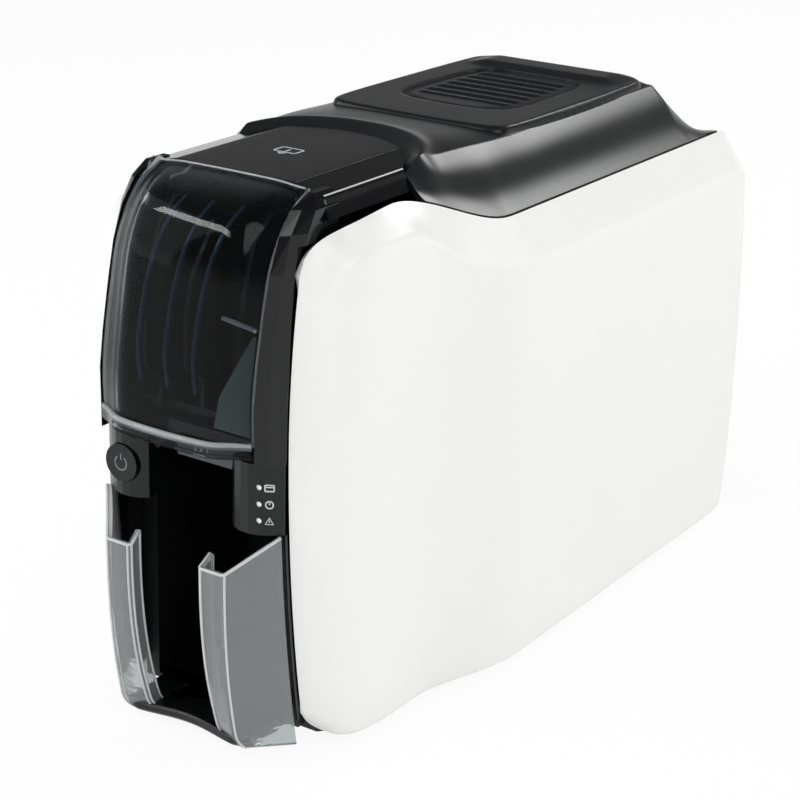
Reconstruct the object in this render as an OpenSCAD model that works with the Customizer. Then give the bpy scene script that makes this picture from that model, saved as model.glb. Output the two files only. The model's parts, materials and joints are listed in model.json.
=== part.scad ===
// Desktop printer for plastic identity cards, as an assembly of separate pieces.
// Machine coordinates: X across (right seen from the front), Y back from the front seam of the
// side panels, Z up from the table. placed() moves every piece so that Y = 0 is mid-depth.

/* [Body] */
// Width across the rear of the two side panels
body_w = 157; // [154:0.5:162]
// Width across the narrow front of the two side panels
front_w = 129; // [127:0.5:132]
// How far the rear of the side panels lies behind their front seam
back_y = 342; // [338:1:350]
// How far the hopper cover stands ahead of the front seam
front_reach = 22; // [20.5:0.5:23]
// Height of the lid's front arch
body_h = 237; // [235:0.5:239]
// Wall of the moulded side panels
panel_wall = 2.4; // [1.8:0.2:3]
// Height of the rubber feet
foot_h = 4; // [3:0.5:5]
// Radius of the rubber feet
foot_r = 7; // [5:0.5:8]

/* [Seams] */
// Half width of the black front between the side panels
front_seam_x = 45; // [44.6:0.2:46]
// Half width between the side panels at the rear of the top
rear_seam_x = 68.7; // [67:0.1:69.5]
// How far the side panels' top seam lies below the lid's arch behind the flare
rear_seam_drop = 30.5; // [29:0.5:31]
// How far the side panels' top seam lies below the lid's arch beside the card hopper
front_seam_drop = 18; // [16:0.5:19]
// Gap between fixed covers
gap = 0.3; // [0.2:0.1:0.5]

/* [Card] */
// Length of a card
card_l = 85.6; // [85.6:0.1:86]
// Width of a card
card_w = 54; // [54:0.1:54.4]
// Plane in which the cards travel
card_x = -19; // [-20:0.5:-18]
// Height of the lower edge of a card in the track
track_z = 141; // [140:0.5:142]

/* [Mechanism] */
// Distance from the middle to the inside of each side frame
frame_x = 40; // [39.5:0.5:40.5]
// Thickness of the side frames
frame_t = 3; // [2:0.5:3]
// Height of a card's lower edge above the transport deck
deck_drop = 9; // [8:0.5:10]
// Radius of the drive rollers and of the platen
drive_r = 6; // [5:0.5:6]
// Radius of the pinch rollers
pinch_r = 5; // [4:0.5:5]
// Radius of the roller shafts
shaft_r = 2; // [1.5:0.25:2.5]
// Radial running clearance of shafts and pins
run_gap = 0.05; // [0.02:0.01:0.08]
// Place of the print head along the track
head_y = 170; // [168:1:172]
// Radius of the full roll of ribbon
supply_r = 15; // [12:0.5:15]
// Radius of the used roll of ribbon
takeup_r = 9; // [8:0.5:12]

/* [Lid and covers] */
// Wall of the lid shell
lid_wall = 2.6; // [2:0.2:3]
// Distance of the lid hinge behind the front seam
lid_hinge_y = 319; // [317:1:320]
// Height of the lid hinge
lid_hinge_z = 195; // [194:0.5:195.5]
// Radius of the lid hinge pins
lid_pin_r = 2.5; // [2:0.25:3]
// Wall of the transparent hopper cover
cover_wall = 2; // [1.6:0.2:2.4]
// Distance of the cover hinge behind the front seam
cover_hinge_y = -8; // [-8.5:0.25:-7.5]
// Height of the cover hinge
cover_hinge_z = 138; // [137.5:0.25:139]
// Radius of the cover hinge pins
cover_pin_r = 1.75; // [1.5:0.05:1.8]
// Travel of the lid release button
release_travel = 3; // [2:0.5:3.5]
// Radius of the power button
power_r = 8; // [7:0.5:8.5]

/* [Hidden] */
$fn = 48;

// Y = 0 of the finished part lies midway between the cover's front and the panels' rear
deck_z = track_z - deck_drop;
front_seam_z = body_h - front_seam_drop;
rear_seam_z = body_h - rear_seam_drop;
seam_y = (front_reach - back_y) / 2;
front_half = front_w / 2;
body_half = body_w / 2;

panel_black = [0.09, 0.095, 0.1];
frame_grey = [0.35, 0.37, 0.39];
panel_white = [0.93, 0.93, 0.93];
smoke = [0.25, 0.28, 0.3, 0.45];
clear_pale = [0.75, 0.78, 0.8, 0.45];
steel = [0.7, 0.71, 0.73];
rubber_black = [0.06, 0.06, 0.06];

// ---------------------------------------------------------------- helpers

module placed() translate([0, seam_y, 0]) children();

module both_sides() {
    children();
    mirror([1, 0, 0]) children();
}

// A profile drawn in Y and Z, extruded from x0 to x1
module across(x0, x1) translate([x0, 0, 0]) rotate([90, 0, 90]) linear_extrude(x1 - x0) children();

// A profile drawn in X and Z, extruded from y0 to y1
module along(y0, y1) translate([0, y1, 0]) rotate([90, 0, 0]) linear_extrude(y1 - y0) children();

// A profile drawn in X and Y, extruded from z0 to z1
module upward(z0, z1) translate([0, 0, z0]) linear_extrude(z1 - z0) children();

module block(x0, x1, y0, y1, z0, z1) translate([x0, y0, z0]) cube([x1 - x0, y1 - y0, z1 - z0]);

module rod_z(x, y, z0, z1, r) translate([x, y, z0]) cylinder(h = z1 - z0, r = r);

module rod_x(y, z, x0, x1, r) translate([x0, y, z]) rotate([0, 90, 0]) cylinder(h = x1 - x0, r = r);

module rod_y(x, z, y0, y1, r) translate([x, y1, z]) rotate([90, 0, 0]) cylinder(h = y1 - y0, r = r);

// A flat rectangle with round corners
module round_rect(w, h, r) {
    square([w - 2 * r, h], center = true);
    square([w, h - 2 * r], center = true);
    for (sx = [-1, 1], sy = [-1, 1])
        translate([sx * (w / 2 - r), sy * (h / 2 - r)]) circle(r);
}

function smooth(t) = let (c = min(1, max(0, t))) c * c * (3 - 2 * c);
function ramp(v, a, b) = smooth((v - a) / (b - a));
function mix(a, b, t) = a + (b - a) * t;
function near(i, n) = min(n, max(0, i));
function unit(v) = v / norm(v);

// Direction into the wall at a point of a grid of points
function wall_dir(g, i, j) =
    let (n = len(g) - 1, m = len(g[0]) - 1,
         du = g[near(i + 1, n)][j] - g[near(i - 1, n)][j],
         dv = g[i][near(j + 1, m)] - g[i][near(j - 1, m)])
    unit(cross(dv, du));

// A moulded wall: the grid g is its outer face, and the inner face lies one wall inside it
module moulded(g, wall) {
    n = len(g);
    m = len(g[0]);
    outer = [for (i = [0:n - 1], j = [0:m - 1]) g[i][j]];
    inner = [for (i = [0:n - 1], j = [0:m - 1]) g[i][j] + wall * wall_dir(g, i, j)];
    k = n * m;
    faces = concat(
        [for (i = [0:n - 2], j = [0:m - 2]) [i * m + j, (i + 1) * m + j + 1, (i + 1) * m + j]],
        [for (i = [0:n - 2], j = [0:m - 2]) [i * m + j, i * m + j + 1, (i + 1) * m + j + 1]],
        [for (i = [0:n - 2], j = [0:m - 2])
            [k + i * m + j, k + (i + 1) * m + j, k + (i + 1) * m + j + 1]],
        [for (i = [0:n - 2], j = [0:m - 2])
            [k + i * m + j, k + (i + 1) * m + j + 1, k + i * m + j + 1]],
        [for (i = [0:n - 2], s = [0, 1]) s == 0
            ? [i * m, (i + 1) * m, k + (i + 1) * m]
            : [i * m, k + (i + 1) * m, k + i * m]],
        [for (i = [0:n - 2], s = [0, 1]) let (e = m - 1) s == 0
            ? [i * m + e, k + (i + 1) * m + e, (i + 1) * m + e]
            : [i * m + e, k + i * m + e, k + (i + 1) * m + e]],
        [for (j = [0:m - 2], s = [0, 1]) s == 0
            ? [j, k + j + 1, j + 1]
            : [j, k + j, k + j + 1]],
        [for (j = [0:m - 2], s = [0, 1]) let (e = (n - 1) * m) s == 0
            ? [e + j, e + j + 1, k + e + j + 1]
            : [e + j, k + e + j + 1, k + e + j]]
    );
    polyhedron(points = concat(outer, inner), faces = faces, convexity = 6);
}

// ---------------------------------------------------------------- side panels

flare_start = 66;
flare_end = 128;
bow_z = 135;

// Bow of the front seam in side view: it lies furthest forward at bow_z
function front_curve(z) = -0.6 + (z < bow_z ? 0.00072 : 0.00125) * pow(z - bow_z, 2);
// The rear edge leans and bows the same way
function rear_curve(z) = back_y - (z > 75 ? 0.00062 : 0.0011) * pow(z - 75, 2);

// Outer face in plan, y measured from the front seam: a round front corner, then the flare
function outer_x(y) = y < 7
    ? mix(front_seam_x, front_half - 10.5, y / 7)
    : front_half - 10.5 * exp(-(y - 7) / 7.5)
      + (body_half - front_half) * ramp(y, flare_start, flare_end)
      - 6 * pow(max(0, (y - back_y + 7) / 7), 2);

function top_seam_x(y) = mix(front_seam_x, front_seam_x + 5, ramp(y, 0, 18))
    + (rear_seam_x - front_seam_x - 5) * ramp(y, 58, 124);

function top_seam_z(y) = mix(front_seam_z + 0.06 * (y - 18), rear_seam_z, ramp(y, 58, 118))
    - (y < 19 ? 14 - 14 * sqrt(max(0, 1 - pow((19 - y) / 19, 2))) : 0)
    - 15 * pow(max(0, (y - back_y + 14) / 14), 2);

function bevel_z(y) = mix(front_seam_z - 7, rear_seam_z - 18.5, ramp(y, 52, 108))
    - 15 * exp(-max(0, y - 6) / 6)
    - 10 * pow(max(0, (y - back_y + 14) / 14), 2);

function bottom_z(y) = 3 + 14 * pow(max(0, (14 - y) / 14), 2)
    + 6 * pow(max(0, (y - back_y + 12) / 12), 2);

panel_y = concat(
    [0, 3.5, 7, 10, 14, 20, 28, 40, 54, 64],
    [for (y = [flare_start + 6:6:flare_end]) y],
    [160, 210, 260, 290, 306, 318],
    [back_y - 14, back_y - 10, back_y - 7, back_y - 5, back_y - 2.5, back_y]
);

// Rows from the bottom seam up to the top seam
function panel_row(y) = let (lo = bottom_z(y), hi = bevel_z(y), top = top_seam_z(y))
    concat([lo, lo + 1.5, lo + 5], [for (t = [0.2:0.2:0.8]) mix(lo + 5, hi, t)], [hi, hi + 1, top]);

function panel_point(y, z, row, last) =
    let (yy = y + (front_curve(z) + 0.6) * (1 - ramp(y, 20, 60))
                - (back_y - rear_curve(z)) * ramp(y, 262, back_y - 10),
         out = outer_x(y),
         foot = max(front_seam_x - 0.5, out - 6.5))
    row == 0 ? [mix(foot, out, 0), yy, z]
    : row == 1 ? [mix(foot, out, 0.75), yy, z]
    : row == last ? [min(out, top_seam_x(y)), yy, z]
    : row == last - 1 ? [mix(out, min(out, top_seam_x(y)), 0.03), yy, z]
    : [out, yy, z];

panel_grid = [for (y = panel_y) let (r = panel_row(y))
    [for (j = [0:len(r) - 1]) panel_point(y, r[j], j, len(r) - 1)]];

module right_side_panel() color(panel_white) placed() moulded(panel_grid, panel_wall);

module left_side_panel() color(panel_white) placed() mirror([1, 0, 0]) moulded(panel_grid, panel_wall);

// ---------------------------------------------------------------- base

base_z = foot_h;
base_t = 3;
floor_z = base_z + base_t;
base_inset = 9.6;
foot_places = [[46, 36], [60, back_y - 32]];

// Half outline of the base in plan, just inside the panels' lower edges
function base_half(y) = outer_x(y - 12 * (1 - ramp(y, 32, 72)) + 12.7 * ramp(y, 262, 332)) - base_inset;
base_y = [20, 24, 30, 40, 64, 76, 88, 100, 112, 126, back_y - 60, back_y - 24];

module base_outline(grow = 0) polygon(concat(
    [for (y = base_y) [base_half(y) + grow, y]],
    [for (i = [len(base_y) - 1:-1:0]) [-base_half(base_y[i]) - grow, base_y[i]]]
));

screw_y = [110, 250];

module base_tray() color(panel_black) placed() difference() {
    union() {
        upward(base_z, floor_z) base_outline();
        upward(floor_z, floor_z + 5) difference() {
            base_outline();
            base_outline(-2.5);
        }
    }
    for (y = screw_y, s = [-1, 1])
        rod_z(s * (frame_x + frame_t / 2 + 6), y, base_z - 1, floor_z + 1, 1.6);
}

module rubber_feet() color(rubber_black) placed() both_sides()
    for (p = foot_places) rod_z(p[0], p[1], 0, foot_h, foot_r);

// ---------------------------------------------------------------- side frames

frame_y0 = 31;
frame_y1 = back_y - 8;
frame_out = frame_x + frame_t;
frame_top = track_z + card_w + 5;
trough_y = back_y - 46;
trough_z = frame_top - 15;
roller_x = card_x - 0.4 - drive_r;
pinch_x = card_x + 0.5 + pinch_r;
roller_rows = [104, 226];
window_y = 96;

module frame_profile() difference() {
    polygon([
        [frame_y0, floor_z], [frame_y1, floor_z], [frame_y1, trough_z - 3],
        [trough_y, trough_z - 3], [trough_y, frame_top], [frame_y0, frame_top]
    ]);
    translate([210, 74]) round_rect(150, 60, 8);
}

// A foot flange with screw holes joins each frame to the base
module side_frame() difference() {
    union() {
        across(frame_x, frame_out) frame_profile();
        for (y = screw_y)
            block(frame_out, frame_out + 10, y - 8, y + 8, floor_z, floor_z + 3);
    }
    for (y = screw_y) rod_z(frame_x + frame_t / 2 + 6, y, floor_z - 1, floor_z + 4, 1.6);
}

module right_frame() color(frame_grey) placed() side_frame();

module left_frame() color(frame_grey) placed() mirror([1, 0, 0]) side_frame();

module frame_screws() color(steel) placed() both_sides() for (y = screw_y) {
    rod_z(frame_x + frame_t / 2 + 6, y, base_z + 0.5, floor_z + 3, 1.5);
    rod_z(frame_x + frame_t / 2 + 6, y, floor_z + 3, floor_z + 5, 2.8);
}

// ---------------------------------------------------------------- top frame round the ribbon bay

bay_x = frame_x - 0.4;
bay_y0 = 108;
bay_y1 = 292;
bay_z = frame_top;
bay_t = 4;
keeper_y = 246;
keeper_x = 46;
ledge_out = keeper_x + 3.4;
bay_edge_y = [72, 80, 88, 96, 104, 112, 124, 140, trough_y + 2];
rail_in = 48;

module bay_outline() polygon(concat(
    [for (y = bay_edge_y) [top_seam_x(y) - panel_wall - gap, y]],
    [for (i = [len(bay_edge_y) - 1:-1:0])
        [-top_seam_x(bay_edge_y[i]) + panel_wall + gap, bay_edge_y[i]]]
));

hinge_ear_x = 52;
hinge_ear_t = 5;
hinge_ear_r = 4;

module fixed_ear() difference() {
    union() {
        rod_x(lid_hinge_y, lid_hinge_z, hinge_ear_x, hinge_ear_x + hinge_ear_t, hinge_ear_r);
        block(hinge_ear_x, hinge_ear_x + hinge_ear_t, lid_hinge_y - 14, lid_hinge_y,
            trough_z - 1, lid_hinge_z + hinge_ear_r);
    }
    rod_x(lid_hinge_y, lid_hinge_z, hinge_ear_x - 1, hinge_ear_x + hinge_ear_t + 1, lid_pin_r);
}

// Top frame round the ribbon bay, with a trough for the hinge
module bay_frame() color(panel_black) placed() {
    difference() {
        union() {
            upward(bay_z, bay_z + bay_t) bay_outline();
            block(-64, 64, trough_y, trough_y + 2, trough_z - 3, bay_z + bay_t);
            block(-64, 64, trough_y, rear_y, trough_z - 3, trough_z);
        }
        block(-ledge_out, ledge_out, bay_y0, bay_y1, bay_z - 1, bay_z + bay_t + 1);
        block(-frame_x + 1, frame_x - 1, 60, bay_y0 - 6, bay_z - 1, bay_z + bay_t + 1);
    }
    both_sides() fixed_ear();
}

// Ledges beside the bay; the latch hooks pass through the window between them
module latch_keepers() color(panel_black) placed() both_sides() {
    block(bay_x, ledge_out, bay_y0, keeper_y - 8.2, bay_z, bay_z + bay_t);
    block(bay_x, ledge_out, keeper_y + 10, bay_y1, bay_z, bay_z + bay_t);
}

module lid_hinge_pins() color(steel) placed() both_sides()
    rod_x(lid_hinge_y, lid_hinge_z, rail_in - 1, hinge_ear_x + hinge_ear_t, lid_pin_r);

// ---------------------------------------------------------------- front bezel

cheek_in = 38.2;
cheek_out = front_seam_x - 0.4;
cheek_back = frame_y0;
control_top = 129.5;
control_bottom = 100;

// Front edge of a cheek in side view, at its inner side; run is added towards the outside
function cheek_front(run) = [
    [-13 + run, control_top], [-13.3 + run, 155], [-11.2 + run, 170], [-7.3 + run, 190],
    [-3.8 + run, 205], [1.9 + run * 0.8, 219], [9 + run * 0.6, 227.5], [20, 232.4],
    [cheek_back, 232.4], [cheek_back, control_top]
];

// The part of a cheek beside the panel stops short of the panel's front edge
module cheek() difference() {
    hull() {
        across(cheek_in, cheek_in + 0.2) polygon(cheek_front(0));
        across(cheek_in + 3, cheek_in + 3.2) polygon(cheek_front(4));
        across(cheek_out - 0.2, cheek_out)
            polygon([for (p = cheek_front(12)) [p[0], min(p[1], 227)]]);
    }
    across(post_out, cheek_out + 1) polygon(concat(
        [for (z = [control_top - 1, 150, 170, 185, 200, 208, 214.5]) [front_curve(z) - gap, z]],
        [[cheek_back + 1, 214.5], [cheek_back + 1, control_top - 1]]
    ));
}

post_out = front_seam_x - panel_wall - gap;

// Post beside the output hopper, following the bow of the front seam
post_z = [14, 22, 34, 50, 70, 90, control_bottom - gap];

module post() {
    across(41, post_out) polygon(concat(
        [for (z = post_z) [front_curve(z) - 1.6, z]],
        [[front_curve(control_bottom) - gap, control_bottom - gap], [-0.6, control_top],
            [cheek_back, control_top], [cheek_back, 14]]
    ));
    across(41, cheek_out) polygon(concat(
        [for (z = post_z) [front_curve(z) - 1.6, z]],
        [for (i = [len(post_z) - 1:-1:0]) [front_curve(post_z[i]) - gap, post_z[i]]]
    ));
}

module front_bezel() color(panel_black) placed() difference() {
    union() {
        both_sides() {
            cheek();
            post();
        }
        // beam below the cover, which joins the two cheeks
        block(-41.5, 41.5, 2, 6, control_top, 134);
    }
    rod_x(cover_hinge_y, cover_hinge_z, cheek_in - 1, cheek_in + 2.6, cover_pin_r);
    mirror([1, 0, 0])
        rod_x(cover_hinge_y, cover_hinge_z, cheek_in - 1, cheek_in + 2.6, cover_pin_r);
}

module cover_pins() color(steel) placed() both_sides()
    rod_x(cover_hinge_y, cover_hinge_z, cheek_in - 4, cheek_in + 2.6, cover_pin_r);

// ---------------------------------------------------------------- hopper top

hopper_top_z = body_h - 1.5;
hopper_top_y0 = 21.8;
hopper_top_y1 = 106;
arch_centre = 57.3;
arch_r = 47.7;
lid_front = 78;
shoulder_x = 43;
shoulder_z = body_h - 3;

module hopper_top_profile(inset = 0) polygon([
    [-30 + inset, hopper_top_z - inset], [30 - inset, hopper_top_z - inset],
    [shoulder_x - inset, shoulder_z - inset],
    [front_seam_x + 3.6 - inset, front_seam_z + 3.4], [front_seam_x + 2 - inset, front_seam_z + 2.4],
    [front_seam_x + 1.4 - inset, shoulder_z - 28], [-front_seam_x - 1.4 + inset, shoulder_z - 28],
    [-front_seam_x - 2 + inset, front_seam_z + 2.4], [-front_seam_x - 3.6 + inset, front_seam_z + 3.4],
    [-shoulder_x + inset, shoulder_z - inset]
]);

// Glossy top of the card hopper: flat crown, two chamfers and steep shoulders
module hopper_top() color(panel_black) placed() difference() {
    along(hopper_top_y0, hopper_top_y1) hopper_top_profile();
    along(hopper_top_y0 - 1, hopper_top_y1 + 1) hopper_top_profile(2.4);
    // the shoulders stop above the frames
    block(-60, 60, hopper_top_y0 - 1, hopper_top_y1 + 1,
        shoulder_z - 34, shoulder_z - 22);
    // the rear edge is an arc that meets the lid's arch
    upward(shoulder_z - 29, body_h + 3) difference() {
        translate([-60, lid_front - gap]) square([120, 60]);
        translate([0, arch_centre]) circle(arch_r - gap, $fn = 96);
    }
    // the cheeks of the bezel stand inside the front end
    block(-60, 60, hopper_top_y0 - 1, cheek_back + gap,
        shoulder_z - 34, body_h - 4.2);
}

// ---------------------------------------------------------------- card hopper

hopper_y1 = 78;
hopper_floor = track_z - 4;
hopper_floor_t = 3;
pick_wall_x = card_x - 1;
hopper_right = 24;
slit = 1.6;

// Front edge of the hopper's walls, a little behind the cover
hopper_edge = [[3, hopper_floor], [3, 150], [-6, 158], [-6, 178], [-2, 196], [4, 214], [14, 222]];

module hopper_side(x0, x1) across(x0, x1)
    polygon(concat(hopper_edge, [[hopper_y1, 222], [hopper_y1, hopper_floor]]));

pick_z = 168;
pick_r = 8;
pick_x = card_x - 0.4 - pick_r;
pusher_z = track_z + card_w + 12;
rod_y0 = 62;

module card_hopper() color(panel_black) placed() difference() {
    union() {
        block(-cheek_in + gap, cheek_in - gap, 6, hopper_y1, hopper_floor,
            hopper_floor + hopper_floor_t);
        hopper_side(pick_wall_x - 2, pick_wall_x);
        hopper_side(hopper_right, hopper_right + 2);
        block(pick_wall_x - 2, hopper_right + 2, hopper_y1 - 2, hopper_y1, hopper_floor, 222);
        // outer flanges carry the hopper on the side frames
        both_sides() block(36, frame_x, 40, hopper_y1, hopper_floor, 200);
        both_sides() block(36, frame_x, 34, hopper_y1, hopper_floor, hopper_floor + 3);
        both_sides() block(25, 37, hopper_y1 - 2, hopper_y1, hopper_floor, 200);
        // bearing blocks of the pick roller
        for (y = [12, 56])
            block(-37, pick_wall_x - 1, y, y + 4, hopper_floor, pick_z + 6);
    }
    // slit in the rear wall through which the picked card leaves for the track
    block(card_x - slit / 2, card_x + slit / 2 + 1, hopper_y1 - 5, hopper_y1 + 1,
        track_z - 0.6, track_z + card_w + 2);
    // windows for the two tyres of the pick roller
    for (y = [22, 40])
        block(pick_wall_x - 3, pick_wall_x + 1, y - 1, y + 11, pick_z - 10, pick_z + 10);
    for (y = [12, 56])
        rod_y(pick_x, pick_z, y - 1, y + 5, shaft_r + run_gap);
    // slot for the pusher's foot
    block(-18, hopper_right - 1, rod_y0 - 3, rod_y0 + 3, hopper_floor - 1,
        hopper_floor + hopper_floor_t + 1);
}

module pick_roller() color(rubber_black) placed() {
    rod_y(pick_x, pick_z, 10, 64, shaft_r);
    for (y = [22, 40]) rod_y(pick_x, pick_z, y, y + 10, pick_r);
    rod_y(pick_x, pick_z, 61, 64, 5);
}

pusher_x = -3;

// The pusher presses the stack of cards against the pick wall
module card_pusher() color([0.2, 0.24, 0.3]) placed() difference() {
    union() {
        across(pusher_x, pusher_x + 2) polygon([
            [-4, 160], [-4, 180], [0, 196], [14, 216], [hopper_y1 - 4, 216],
            [hopper_y1 - 4, hopper_floor + hopper_floor_t + 0.5],
            [6, hopper_floor + hopper_floor_t + 0.5], [6, 152]
        ]);
        block(pusher_x + 1, pusher_x + 9, rod_y0 - 6, rod_y0 + 6, pusher_z - 8,
            pusher_z + 7);
        block(pusher_x + 1, pusher_x + 6, 8, hopper_y1 - 8, 186, 188);
        block(pusher_x + 1, pusher_x + 6, 24, 26, 144, 212);
        block(pusher_x + 1, pusher_x + 6, 44, 46, 144, 212);
    }
    rod_x(rod_y0, pusher_z, pusher_x - 1, pusher_x + 10, 3 + run_gap);
}

module pusher_rod() color(steel) placed()
    rod_x(rod_y0, pusher_z, pick_wall_x, hopper_right, 3);

module pusher_spring() color(steel) placed() difference() {
    rod_x(rod_y0, pusher_z, pusher_x + 9.3, hopper_right - gap, 4.6);
    rod_x(rod_y0, pusher_z, pusher_x + 8, hopper_right + 1, 3.4);
}

// ---------------------------------------------------------------- smoke cover

cover_half = cheek_in - 0.6;

// Rows of the cover from its lip up to its top edge: height, front at the middle, front at the side
cover_rows = [
    [133, 0.0, -12.0, 0], [134, -1.6, -13.6, 0], [138.5, -2.0, -14.2, 0], [140, 0.4, -12.8, 0],
    [155, 0.8, -12.9, 0], [170, 2.6, -11, 0], [190, 5.2, -7.1, 0], [205, 8, -3.6, 0.4],
    [216, 12, 1.2, 1], [224, 17.4, 6.4, 1.8], [229.5, 24.4, 12, 2], [232.5, 33, 17, 2],
    [234, 43.2, 21.2, 1.4]
];

// Across the cover: place in X, share of the way from the middle's front to the side's front
cover_columns = [[-1, 1], [-0.82, 0.62], [-0.64, 0.2], [-0.4, 0.06], [0, 0],
    [0.4, 0.06], [0.64, 0.2], [0.82, 0.62], [1, 1]];

function cover_point(c, r) = let (mid = -front_reach + r[1])
    [c[0] * cover_half, mix(mid, r[2], c[1]), r[0] - c[1] * r[3]];

// The side returns run back inside the cheeks
function cover_return(side, r, depth) =
    [side * (cover_half - 0.01 * depth), r[2] + depth * (1 - ramp(r[0], 205, 234)), r[0] - r[3]];

cover_grid = concat(
    [[for (r = cover_rows) cover_return(-1, r, 8)]],
    [for (c = cover_columns) [for (r = cover_rows) cover_point(c, r)]],
    [[for (r = cover_rows) cover_return(1, r, 8)]]
);

module smoke_cover() color(smoke) placed() difference() {
    moulded(cover_grid, cover_wall);
    rod_x(cover_hinge_y, cover_hinge_z, -cover_half - 1, cover_half + 1, cover_pin_r + run_gap);
}

// ---------------------------------------------------------------- front controls

face_depth = 4;

// Plan of a control face: a shallow arc from beside the slot to the seam
control_arc = [[21.2, -4.7], [24, -6.9], [28, -8.3], [32, -8.6], [36, -7.6], [40, -5.2], [44.4, -1.8]];

module control_plan() polygon(concat(control_arc, [[44.4, -1.2], [40.7, -1.2], [40.7, face_depth],
    [21.2, face_depth]]));

light_z = [106, 113, 120];
power_x = -32;
power_z = 114;
face_front = -8.6;

module control_face() upward(control_bottom, control_top) control_plan();

module right_control_face() color(panel_black) placed() difference() {
    control_face();
    for (z = light_z)
        rod_y(36, z, -9, face_depth + 1, 1.2);
}

module left_control_face() color(panel_black) placed() difference() {
    mirror([1, 0, 0]) control_face();
    rod_y(power_x, power_z, -10, face_depth + 1, power_r + 0.3);
}

module power_button() color([0.14, 0.15, 0.16]) placed() {
    rod_y(power_x, power_z, face_front - 0.6, -2, power_r);
    rod_y(power_x, power_z, -2, 3, 3);
}

module status_lights() color([0.5, 0.85, 0.6]) placed() {
    for (z = light_z) rod_y(36, z, -7, face_depth, 1.15);
    block(33, 39, face_depth, face_depth + 1.6, light_z[0] - 4, light_z[2] + 4);
}

// Block with the single card slot, between the control faces
module slot_block() color([0.3, 0.32, 0.34]) placed() difference() {
    block(-21, 21, 0, 5.5, control_top - 9, control_top);
    block(card_x - 1.5, card_x + 9, -1, 6, control_top - 10, control_top + 1);
}

// ---------------------------------------------------------------- output hopper

wing_in = 17.4;
wing_out = 29.6;
wing_top = 86;
wing_wall = 2;

// Front edge of a wing: upright at the top and swept back at the bottom, more so at its inner side
function wing_sweep(z) = max(0, (wing_top - z) / (wing_top - 3));
function wing_front(z, sweep) = -front_reach + 0.4 + sweep * pow(wing_sweep(z), 2.4)
    + 5 * pow(max(0, (13 - z) / 10), 2);

wing_t = [0, 0.02, 0.05, 0.1, 0.16, 0.24, 0.34, 0.46, 0.6, 0.78, 1];

// Columns: inner flange, front face and outer side back to the seam
function wing_point(k, t) =
    let (top = k < 5 ? wing_top + (k == 0 ? 4 : 0) : mix(wing_top, control_bottom - gap, (k - 4) / 4),
         z = mix(3.2, top, t), f = wing_front(z, 14), o = wing_front(z, 9.5),
         s = front_curve(z) - 3.2)
    k == 0 ? [wing_in + 0.6, f + 7, z]
    : k == 1 ? [wing_in, f + 1.2, z]
    : k == 2 ? [wing_in + 1.2, f, z]
    : k == 3 ? [wing_out - 1.2, o, z]
    : k == 4 ? [wing_out + 0.3, o + 0.8, z]
    : [mix(wing_out + 0.3, cheek_out - 0.1, (k - 4) / 4), mix(o + 0.8, s - 0.8, (k - 4) / 4), z];

wing_grid = [for (k = [0:8]) [for (t = wing_t) wing_point(k, t)]];

module output_wings() color(clear_pale) placed() both_sides() moulded(wing_grid, wing_wall);

bin_half = 33;
bin_wall = 2;
bin_y1 = 78;

// Black bin in which the finished cards stand
module output_bin() color(panel_black) placed() difference() {
    union() {
        block(-bin_half - bin_wall, bin_half + bin_wall, 14, bin_y1, floor_z, floor_z + 2);
        block(-16, 16, 1, 16, floor_z - 2.5, floor_z + 2);
        both_sides() block(bin_half, bin_half + bin_wall, 14, bin_y1, floor_z, 128);
        both_sides() block(bin_half, 40.7, 14, 18, floor_z, control_bottom - 1);
        block(-bin_half, bin_half, bin_y1 - bin_wall, bin_y1, floor_z, 128);
    }
    // finger notch in the front edge
    upward(0, 20) translate([0, -5]) circle(13, $fn = 64);
    // slit through which the card is driven in from the chute
    block(card_x - 2, card_x + 2, bin_y1 - 5, bin_y1 + 1, floor_z + 2, floor_z + 2 + card_w + 4);
}

// ---------------------------------------------------------------- transport

deck_t = 4;
deck_y0 = 84;
deck_y1 = 300;
deck_low = deck_z - deck_t;
roller_z0 = track_z + 2;
roller_z1 = track_z + card_w - 2;
shaft_z0 = deck_low - 11;
bridge_z = track_z + card_w + 2;
belt_z = deck_low - 8;
pulley_r = 4;
motor_x = -26;
motor_y = 165;
chute_gap = 3.4;
chute_y0 = 114;
chute_y1 = 202;
eject_z = 40;
clean_y = 88;

spool_x = 20;
supply_y = 212;
takeup_y = 128;
spool_pin_r = 3;
head_pin = [-6, head_y + 22];
cam_at = [10, head_y - 14];

// Left side: drive rollers and platen; right side: pinch rollers
module shaft_holes(grow) {
    for (y = roller_rows) {
        rod_z(roller_x, y, deck_low - 1, deck_z + 1, shaft_r + grow);
        rod_z(pinch_x, y, deck_low - 1, deck_z + 1, shaft_r + grow);
    }
    rod_z(roller_x, head_y, deck_low - 1, deck_z + 1, shaft_r + grow);
    rod_z(roller_x, clean_y, deck_low - 1, deck_z + 1, shaft_r + grow);
}

module transport_deck() color(frame_grey) placed() difference() {
    union() {
        block(-frame_x, frame_x, deck_y0, deck_y1, deck_low, deck_z);
        // pin that carries the print head
        rod_z(head_pin[0], head_pin[1], deck_z, track_z + card_w + 1, 3);
    }
    shaft_holes(run_gap);
    for (y = [supply_y, takeup_y])
        rod_z(spool_x, y, deck_low - 1, deck_z + 1, spool_pin_r + run_gap);
    rod_z(cam_at[0], cam_at[1], deck_low - 1, deck_z + 1, shaft_r + run_gap);
    // the chute lets a finished card fall to the output level
    block(card_x - chute_gap / 2, card_x + 6.5, chute_y0 - 4, chute_y1 + 4,
        deck_low - 1, deck_z + 1);
}

rail_y0 = hopper_y1;
rail_y1 = 290;

module rail(y0, y1, z0, z1) block(card_x - 3.5, card_x + 3.5, y0, y1, z0, z1);

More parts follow.
